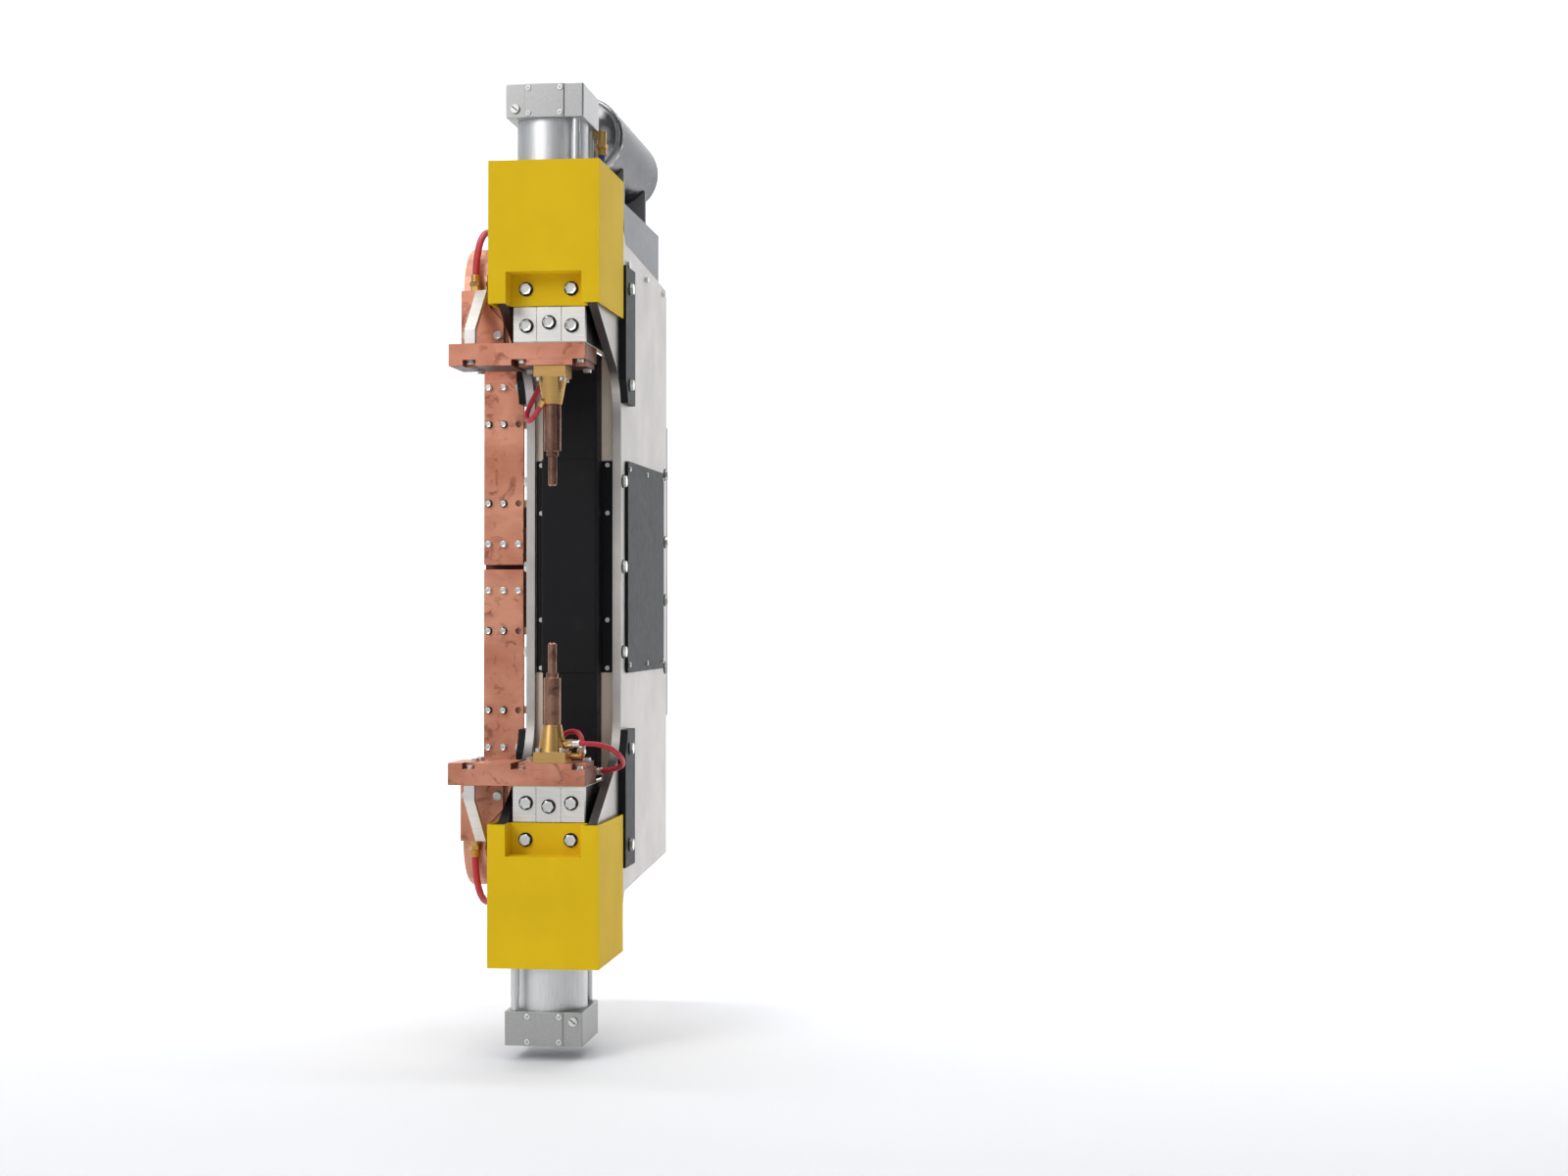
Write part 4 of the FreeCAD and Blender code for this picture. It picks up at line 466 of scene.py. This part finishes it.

# %% [markdown]
# Hoses
# Each hose is one smooth NURBS line, guided by the few points of its route and thickened into a
# tube. Every route is a few listed points, in millimetres across, behind the front of the covers
# and above the middle of the machine.

# %% Hose sizes and routes
MM = 0.001
REAR_FACE_DEPTH = 780.0
WATER_HOSE_RADIUS = 6.5 * MM
ELECTRODE_HOSE_RADIUS = 4.75 * MM
AIR_HOSE_RADIUS = 6.5 * MM
WATER_HOSE_X = (159.0, 129.0)
WATER_HOSE_ROUTE = ((147.0, 520.0), (147.0, 582.4), (246.5, 640.0), (346.0, 582.4), (346.0, 470.0))
UPPER_ELECTRODE_ROUTE = (
    (-22.0, 134.0, 345.0),
    (-62.0, 124.0, 282.0),
    (-44.0, 80.0, 248.0),
    (-20.0, 67.0, 284.0),
)
LOWER_ELECTRODE_ROUTE = (
    (38.0, 74.0, -321.0),
    (90.0, 76.0, -318.0),
    (124.0, 104.0, -346.0),
    (112.0, 160.0, -372.0),
    (60.0, 172.0, -377.0),
)
LOWER_COOLING_ROUTE = (
    (4.0, 112.0, -322.0),
    (12.0, 124.0, -300.0),
    (50.0, 110.0, -302.0),
    (50.0, 94.0, -332.0),
)
AIR_HOSE_ROUTE = ((77.0, 138.0, 757.0), (77.0, 138.0, 728.0), (60.0, 176.0, 684.0), (60.0, 236.0, 650.0))

def place(x, depth, height):
    """Point in the frame from millimetres across, behind the front of the covers and above the middle."""
    return Vector((x, depth - REAR_FACE_DEPTH, height)) * MM

print("air hose starts at", place(*AIR_HOSE_ROUTE[0]))

# %% [markdown]
# Lines and tubes
# The electrode and air hoses each move with one body, so they stay curves. The water hoses join
# the moving arm to the fixed frame, so they are turned into meshes.

# %% Lines and tubes
def nurbs_line(name, points, radius):
    curve = bpy.data.curves.new(name, "CURVE")
    curve.dimensions = "3D"
    curve.resolution_u = 16
    curve.bevel_depth = radius
    curve.bevel_resolution = 6
    curve.use_fill_caps = radius > 0
    spline = curve.splines.new("NURBS")
    spline.points.add(len(points) - 1)
    for control, point in zip(spline.points, points):
        control.co = (*point, 1)
    spline.order_u = 3
    spline.use_endpoint_u = True
    piece = bpy.data.objects.new(name, curve)
    bpy.context.scene.collection.objects.link(piece)
    return piece

def centre_line(points):
    """Points along the smooth line, and its length."""
    guide = nurbs_line("guide_line", points, 0)
    mesh = bpy.data.meshes.new_from_object(guide)
    line = [vertex.co.copy() for vertex in mesh.vertices]
    bpy.data.objects.remove(guide)
    bpy.data.meshes.remove(mesh)
    return line, sum((b - a).length for a, b in zip(line, line[1:]))

def fixed_hose(node, points, radius, finish, body):
    """Hose that moves with one body."""
    piece = nurbs_line(node + "_line", points, radius)
    piece.data.materials.append(finish)
    length = centre_line(points)[1]
    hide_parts(node)
    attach(piece, body)
    print(node, "length", round(length, 4))

def bending_hose(node, points, radius, finish):
    """Hose from the frame to a ram, as a mesh tube."""
    guide = nurbs_line("tube_guide", points, radius)
    mesh = bpy.data.meshes.new_from_object(guide)
    bpy.data.objects.remove(guide)
    mesh.name = node + "_tube"
    tube = bpy.data.objects.new(node + "_tube", mesh)
    bpy.context.scene.collection.objects.link(tube)
    for face in mesh.polygons:
        face.use_smooth = True
    mesh.materials.clear()
    mesh.materials.append(finish)
    line, length = centre_line(points)
    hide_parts(node)
    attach(tube, "frame")
    tube.parent = None
    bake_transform(tube)
    print(node, "length", round(length, 4))

# %% [markdown]
# Lay the hoses
# The lower end of the machine mirrors the upper one, so the water and air hoses are laid twice,
# with the sign of the height turned, and for the air hoses that of the side as well. The short
# cooling hoses differ from end to end and are listed one by one.

# %% Lay the hoses
for end, sign in (("upper", 1), ("lower", -1)):
    for number, x in enumerate(WATER_HOSE_X, start=1):
        route = [place(-x, depth, sign * height) for depth, height in reversed(WATER_HOSE_ROUTE)]
        bending_hose(f"{end}_water_hose_{number}", route, WATER_HOSE_RADIUS, red_rubber)
    route = [place(sign * x, depth, sign * height) for x, depth, height in AIR_HOSE_ROUTE]
    fixed_hose(f"{end}_air_hose", route, AIR_HOSE_RADIUS, blue_tube, "frame")
SHORT_HOSES = (
    ("upper_electrode_hose", UPPER_ELECTRODE_ROUTE, "upper_ram"),
    ("lower_electrode_hose", LOWER_ELECTRODE_ROUTE, "lower_ram"),
    ("lower_cooling_hose", LOWER_COOLING_ROUTE, "lower_ram"),
)
for node, route, ram in SHORT_HOSES:
    fixed_hose(node, [place(*corner) for corner in route], ELECTRODE_HOSE_RADIUS, red_rubber, ram)

# %% [markdown]
# Laminated bands
# Each band is a stack of thin copper leaves that bends as the arm moves. Its side shows the
# leaves as fine lines, so every leaf is its own strip here.

# %% Laminated bands
LEAVES = 14
BAND_ARC_STEPS = 20
LEAF_SHARE = 0.86
BAND_THICKNESS = 22.0 * MM
BAND_FRONT_LIFT = 68.0 * MM

def laminated_band(end, sign):
    low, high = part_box(f"{end}_flex_band")
    outer = (high.y - low.y) / 2
    middle_y = (high.y + low.y) / 2
    tops = [abs(low.z), abs(high.z)]
    bend_height = max(tops) - outer
    rear_foot = min(tops)
    front_foot = rear_foot + BAND_FRONT_LIFT
    pitch = BAND_THICKNESS / LEAVES
    vertices, faces = [], []
    for leaf in range(LEAVES):
        rings = []
        for radius in (outer - leaf * pitch, outer - (leaf + LEAF_SHARE) * pitch):
            ring = [(middle_y - radius, front_foot)]
            for step in range(BAND_ARC_STEPS + 1):
                angle = math.pi * (1 - step / BAND_ARC_STEPS)
                ring.append((middle_y + radius * math.cos(angle), bend_height + radius * math.sin(angle)))
            ring.append((middle_y + radius, rear_foot))
            rings.append(ring)
        first = len(vertices)
        count = len(rings[0])
        for ring in rings:
            for x in (low.x, high.x):
                vertices += [Vector((x, y, sign * z)) for y, z in ring]
        for step in range(count - 1):
            for a, b in ((0, 1), (1, 3), (3, 2), (2, 0)):
                faces.append((first + a * count + step, first + b * count + step,
                              first + b * count + step + 1, first + a * count + step + 1))
        for step in (0, count - 1):
            faces.append(tuple(first + row * count + step for row in (0, 1, 3, 2)))
    band = add_mesh(f"{end}_band_leaves", vertices, faces)
    work = bmesh.new()
    work.from_mesh(band.data)
    bmesh.ops.recalc_face_normals(work, faces=work.faces)
    work.to_mesh(band.data)
    work.free()
    band.data.materials.append(band_copper)
    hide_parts(f"{end}_flex_band")
    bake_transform(band)
    return band

for end, sign in (("upper", 1), ("lower", -1)):
    band = laminated_band(end, sign)
    print(band.name, len(band.data.polygons), "faces")

# %% [markdown]
# Bolts
# The engineering model has plain hexagon heads. Close up, a real head has its corners turned off
# at 30 degrees, a shallow dish in its top and a dark washer below. The places come from the
# model: each solid of a bolt node is found as an island of its mesh, and the end with the wider
# ring is the head.

# %% Find the bolt heads
RING_TOLERANCE = 0.00005
SMALLEST_RING = 6
DIRECTIONS = [Vector(step) for step in ((1, 0, 0), (-1, 0, 0), (0, 1, 0), (0, -1, 0), (0, 0, 1), (0, 0, -1))]

def group_middle(group):
    return tuple(round(sum(v[axis] for v in group) / len(group), 4) for axis in (0, 1, 2))

def islands(node):
    """Vertex groups of a CAD node, one for each of its solids."""
    work = bmesh.new()
    work.from_mesh(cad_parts[node].data)
    bmesh.ops.remove_doubles(work, verts=work.verts, dist=MERGE_DISTANCE)
    left = set(work.verts)
    groups = []
    while left:
        queue = [left.pop()]
        group = []
        while queue:
            vertex = queue.pop()
            group.append(vertex.co.copy())
            for edge in vertex.link_edges:
                other = edge.other_vert(vertex)
                if other in left:
                    left.remove(other)
                    queue.append(other)
        groups.append(group)
    work.free()
    groups.sort(key=group_middle)
    return groups

def end_ring(group, direction):
    """Centre, radius and number of the vertices at the far end of a group along a direction."""
    reach = max(v.dot(direction) for v in group)
    ring = [v for v in group if reach - v.dot(direction) < RING_TOLERANCE]
    centre = sum(ring, Vector()) / len(ring)
    return centre, max((v - centre).length for v in ring), len(ring)

def head_of(group):
    """Direction, centre of the top, corner radius and ring count of a bolt's head."""
    best = None
    for direction in DIRECTIONS:
        centre, radius, count = end_ring(group, direction)
        if min(count, end_ring(group, -direction)[2]) < SMALLEST_RING:
            continue
        if best is None or radius > best[2]:
            best = (direction, centre, radius, count)
    return best

print("solids in bus_bolts:", len(islands("bus_bolts")))

# %% [markdown]
# Heads from rings
# A head is a stack of rings around one axis, joined by faces and closed at both ends. A function
# gives the radius at each angle, so the same rings make round washers, hexagons and the socket of
# a cap screw.

# %% Heads from rings
HEAD_STEPS = 24
WASHER_THICKNESS = 1.6 * MM
HEXAGON_FLAT = math.cos(math.pi / 6)
CHAMFER_START = 0.9
CHAMFER_SLOPE = 0.58
LAND_SHARE = 0.97
DISH_SHARE = 0.62
DISH_FLOOR_SHARE = 0.2
DISH_DEPTH = 0.0004
CAP_EDGE_HEIGHT = 0.86
CAP_EDGE_RADIUS = 0.9
SOCKET_SHARE = 0.58
SOCKET_FLOOR = 0.45

def ring_points(frame_axes, origin, height, radius_at):
    across, up, axis = frame_axes
    points = []
    for step in range(HEAD_STEPS):
        angle = 2 * math.pi * step / HEAD_STEPS
        radius, lift = radius_at(angle)
        sideways = across * (radius * math.cos(angle)) + up * (radius * math.sin(angle))
        points.append(origin + sideways + axis * (height + lift))
    return points

def add_rings(work, rings, material_index=0):
    rows = [[work.verts.new(point) for point in ring] for ring in rings]
    faces = []
    for lower, upper in zip(rows, rows[1:]):
        for step in range(len(lower)):
            following = (step + 1) % len(lower)
            faces.append(work.faces.new((lower[step], lower[following], upper[following], upper[step])))
    faces.append(work.faces.new(list(reversed(rows[0]))))
    faces.append(work.faces.new(rows[-1]))
    for face in faces:
        face.material_index = material_index

def axes_along(direction):
    across = direction.orthogonal().normalized()
    return across, direction.cross(across), direction

def hexagon_radius(corner, angle):
    turn = (angle + math.pi / 6) % (math.pi / 3) - math.pi / 6
    return corner * HEXAGON_FLAT / math.cos(turn)

def detailed_bolt(work, direction, top, corner, head_height, turn, washer_share, washer_index):
    """Chamfered hexagon head with a dished top, on a washer."""
    axes = axes_along(direction)
    spin = Matrix.Rotation(turn, 3, direction)
    axes = (spin @ axes[0], spin @ axes[1], direction)
    seat = top - direction * head_height
    washer_radius = corner * washer_share
    rim = CHAMFER_START * corner
    add_rings(work, [
        ring_points(axes, seat, 0, lambda angle: (washer_radius, 0)),
        ring_points(axes, seat, WASHER_THICKNESS, lambda angle: (washer_radius, 0)),
    ], washer_index)

    def side(angle):
        radius = hexagon_radius(corner, angle)
        return radius, -max(0.0, radius - rim) * CHAMFER_SLOPE

    land = min(rim, corner * HEXAGON_FLAT) * LAND_SHARE
    add_rings(work, [
        ring_points(axes, seat, WASHER_THICKNESS, lambda angle: (hexagon_radius(corner, angle), 0)),
        ring_points(axes, seat, head_height, side),
        ring_points(axes, seat, head_height, lambda angle: (land, 0)),
        ring_points(axes, seat, head_height, lambda angle: (corner * DISH_SHARE, -DISH_DEPTH)),
        ring_points(axes, seat, head_height, lambda angle: (corner * DISH_FLOOR_SHARE, -DISH_DEPTH)),
    ])

def cap_screw(work, direction, top, radius, height):
    """Round head with a hexagon socket."""
    axes = axes_along(direction)
    seat = top - direction * height
    socket = radius * SOCKET_SHARE
    add_rings(work, [
        ring_points(axes, seat, 0, lambda angle: (radius, 0)),
        ring_points(axes, seat, height * CAP_EDGE_HEIGHT, lambda angle: (radius, 0)),
        ring_points(axes, seat, height, lambda angle: (radius * CAP_EDGE_RADIUS, 0)),
        ring_points(axes, seat, height, lambda angle: (hexagon_radius(socket, angle), 0)),
        ring_points(axes, seat, height * SOCKET_FLOOR, lambda angle: (hexagon_radius(socket, angle), 0)),
    ])

print("points in a ring:", HEAD_STEPS)

# %% [markdown]
# Place the heads
# The corner radius in the model tells the large hexagon heads from the small ones, and the bus
# bolts have a third size. Only the large ones and the inner bus bolts sit on wide dark washers. A
# ring with more than eight corners belongs to a round cap screw. Every head is turned by its own
# angle, as hands leave them.

# %% Place the heads
LARGE_HEAD = 10.68
SMALL_HEAD = 7.51
HEXAGON_HEIGHTS = {LARGE_HEAD: 7.5 * MM, SMALL_HEAD: 6.0 * MM}
LARGEST_HEXAGON_RING = 8
TURN_PER_BOLT = 0.9
WASHER_SHARE = 1.2
SMALL_WASHER_SHARE = 1.06
BUS_OUTER_ROWS = (44.0 * MM, 341.0 * MM)
BUS_ROW_TOLERANCE = 5 * MM
BUS_HEAD_RADIUS = 6.1 * MM
TERMINAL_BOLTS_X = -0.1
TERMINAL_BOLTS_HEIGHT = 0.405
SIDE_PANEL_Y = -0.48
SIDE_PANEL_X = 0.09
FORWARD = Vector((0, -1, 0))

def washer_for(node, top, size):
    """Share of the head's corner radius that a washer has, and its finish: 0 bright, 1 dark."""
    if node == "bus_bolts":
        outer = min(abs(abs(top.z) - row) for row in BUS_OUTER_ROWS) < BUS_ROW_TOLERANCE
        return (SMALL_WASHER_SHARE, 0) if outer else (WASHER_SHARE, 1)
    return (WASHER_SHARE, 1) if size == LARGE_HEAD else (SMALL_WASHER_SHARE, 0)

def screw_direction(top):
    """Way a panel screw faces: to the right on the side panel, and forward on the throat cover."""
    on_side_panel = top.y > SIDE_PANEL_Y or top.x > SIDE_PANEL_X
    return Vector((1, 0, 0)) if on_side_panel else FORWARD

def add_hexagon_head(work, node, number, direction, top, radius):
    size = min(HEXAGON_HEIGHTS, key=lambda corner: abs(corner - radius / MM))
    if "ram_bolts" in node and top.x < TERMINAL_BOLTS_X and abs(top.z) > TERMINAL_BOLTS_HEIGHT:
        size, radius = SMALL_HEAD, SMALL_HEAD * MM
    if node == "bus_bolts":
        radius = BUS_HEAD_RADIUS
    washer = washer_for(node, top, size)
    detailed_bolt(work, direction, top, radius, HEXAGON_HEIGHTS[size], TURN_PER_BOLT * number, *washer)

def finished_piece(name, work, finishes, body):
    mesh = bpy.data.meshes.new(name)
    bmesh.ops.recalc_face_normals(work, faces=work.faces)
    work.to_mesh(mesh)
    work.free()
    piece = bpy.data.objects.new(name, mesh)
    bpy.context.scene.collection.objects.link(piece)
    for finish in finishes:
        mesh.materials.append(finish)
    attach(piece, body)
    return piece

def bolts_for(node, body, head_finish, washer_finish):
    work = bmesh.new()
    count = 0
    for number, group in enumerate(islands(node)):
        found = head_of(group)
        if found is None:
            continue
        direction, top, radius, ring_count = found
        if ring_count <= LARGEST_HEXAGON_RING:
            add_hexagon_head(work, node, number, direction, top, radius)
        else:
            if top.dot(direction) < sum(v.dot(direction) for v in group) / len(group):
                continue
            outward = direction if node != "panel_screws" else screw_direction(top)
            reaches = [v.dot(outward) for v in group]
            cap_screw(work, outward, end_ring(group, outward)[0], radius, max(reaches) - min(reaches))
        count += 1
    piece = finished_piece(node + "_heads", work, [head_finish, washer_finish], body)
    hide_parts(node)
    print(piece.name, count, "bolts")

bolts_for("bus_bolts", "frame", steel, black_steel)
bolts_for("frame_bolts", "frame", steel, black_steel)
bolts_for("panel_screws", "frame", steel, steel)
bolts_for("upper_ram_bolts", "upper_ram", steel, black_steel)
bolts_for("lower_ram_bolts", "lower_ram", steel, black_steel)

# %% [markdown]
# Ferrules, seams and slots
# A hose is held on its nipple by a pressed ferrule with ribs. The tank has a welded seam where
# its domed ends meet the shell. The cylinder heads have a slotted plug and four socket screws.
# All are turned shapes, so one function spins a profile of radii along an axis, and short lists
# describe each shape.

# %% Ferrules
RIB = 1.45
GROOVE = 1.3
RIBBED_FERRULE = (
    (0.0, 1.0), (0.0, RIB), (2.0, RIB),
    (2.6, GROOVE), (4.2, GROOVE), (4.8, RIB), (6.6, RIB),
    (7.2, GROOVE), (8.8, GROOVE), (9.4, RIB), (12.0, RIB),
    (12.6, 1.05),
)
FERRULE_NUT = ((-8.0, 1.0), (-8.0, 1.75), (-1.0, 1.75), (-0.4, 1.55), (0.0, 1.0))

def spun(work, start, direction, profile, hexagon=False):
    """Closed turned shape from (distance, radius) pairs in metres, where a hexagon has its corner radius."""
    axes = axes_along(direction.normalized())
    rings = []
    for distance, radius in profile:
        def radius_at(angle, radius=radius):
            return (hexagon_radius(radius, angle) if hexagon else radius), 0
        rings.append(ring_points(axes, start, distance, radius_at))
    add_rings(work, rings)

def ferrule(work, start, direction, hose_radius):
    """Ribbed sleeve over the end of a hose, with a hexagon nut behind it."""
    for profile, hexagon in ((RIBBED_FERRULE, False), (FERRULE_NUT, True)):
        spun(work, start, direction, [(d * MM, share * hose_radius) for d, share in profile], hexagon)

for end, sign in (("upper", 1), ("lower", -1)):
    rear, front = bmesh.new(), bmesh.new()
    for x in WATER_HOSE_X:
        for work, (depth, height) in ((front, WATER_HOSE_ROUTE[0]), (rear, WATER_HOSE_ROUTE[-1])):
            ferrule(work, place(-x, depth, sign * height), Vector((0, 0, sign)), WATER_HOSE_RADIUS)
    finished_piece(f"{end}_terminal_ferrules", front, [brass], f"{end}_ram")
    finished_piece(f"{end}_manifold_ferrules", rear, [brass], "frame")
    air = bmesh.new()
    route = [place(sign * x, depth, sign * height) for x, depth, height in AIR_HOSE_ROUTE]
    ferrule(air, route[0], route[1] - route[0], AIR_HOSE_RADIUS)
    finished_piece(f"{end}_air_ferrule", air, [brass], "frame")

for node, route, ram in SHORT_HOSES:
    work = bmesh.new()
    points = [place(*corner) for corner in route]
    for here, ahead in ((points[0], points[1]), (points[-1], points[-2])):
        if node != "upper_electrode_hose" or here is points[0]:
            ferrule(work, here, ahead - here, ELECTRODE_HOSE_RADIUS)
    finished_piece(node + "_ferrules", work, [steel], ram)
print("ferrules done")

# %% [markdown]
# The seams of the tank are two slim rounded rings over the joints of shell and domes.

# %% Tank seams
TANK_AXIS = (0.0, 823.0)
TANK_RADIUS = 78.0 * MM
TANK_SEAM_DEPTHS = (345.0, 730.0)
SEAM_SINK = 0.4
SEAM = ((-2.4, 0.0), (-1.2, 0.7), (0.0, 0.9), (1.2, 0.7), (2.4, 0.0))
seams = bmesh.new()
for depth in TANK_SEAM_DEPTHS:
    spun(seams, place(TANK_AXIS[0], depth, TANK_AXIS[1]), Vector((0, 1, 0)),
         [(d * MM, TANK_RADIUS + (rise - SEAM_SINK) * MM) for d, rise in SEAM])
finished_piece("tank_seams", seams, [steel], "frame")
print("tank seams:", len(TANK_SEAM_DEPTHS))

# %% [markdown]
# The slot of a plug is a thin dark face, because little light gets into a real one. The sockets
# of the screws are real hollows, so they turn dark by themselves.

# %% Head screws and plug
HEAD_SCREW_X = 28.5
HEAD_SCREW_HEIGHTS = (797.0, 841.0)
HEAD_FACE_DEPTH = 4.0
HEAD_PLUG = (-53.0, 7.0, 805.0)
HEAD_SCREW_RISE = 1.7
HEAD_SCREW_RADIUS = 4.7 * MM
PLUG_RIM = ((0.0, 8.2), (0.5, 7.8), (0.5, 7.0), (0.1, 6.8))
PLUG_RISE = 3.3
SLOT_LIFT = 0.55
SLOT_CORNERS = ((-6.6, -0.9), (6.6, -0.9), (6.6, 0.9), (-6.6, 0.9))
SLOT_TURN = math.radians(38)
heads = bmesh.new()
for sign in (1, -1):
    for x in (-HEAD_SCREW_X, HEAD_SCREW_X):
        for height in HEAD_SCREW_HEIGHTS:
            top = place(sign * x, HEAD_FACE_DEPTH - HEAD_SCREW_RISE, sign * height)
            cap_screw(heads, FORWARD, top, HEAD_SCREW_RADIUS, HEAD_SCREW_RISE * MM)
    centre = place(sign * HEAD_PLUG[0], HEAD_PLUG[1] - PLUG_RISE, sign * HEAD_PLUG[2])
    spun(heads, centre, FORWARD, [(distance * MM, radius * MM) for distance, radius in PLUG_RIM])
    tilt = Matrix.Rotation(SLOT_TURN, 3, "Y")
    slot = [centre + tilt @ Vector((x, -SLOT_LIFT, z)) * MM for x, z in SLOT_CORNERS]
    face = heads.faces.new([heads.verts.new(corner) for corner in slot])
    face.material_index = 1
finished_piece("head_screws_and_plugs", heads, [steel, black_steel], "frame")
print("head screws and plugs done")

# %% [markdown]
# Update
# The view layer is brought up to date after the last change.

# %% Update the scene
bpy.context.view_layer.update()
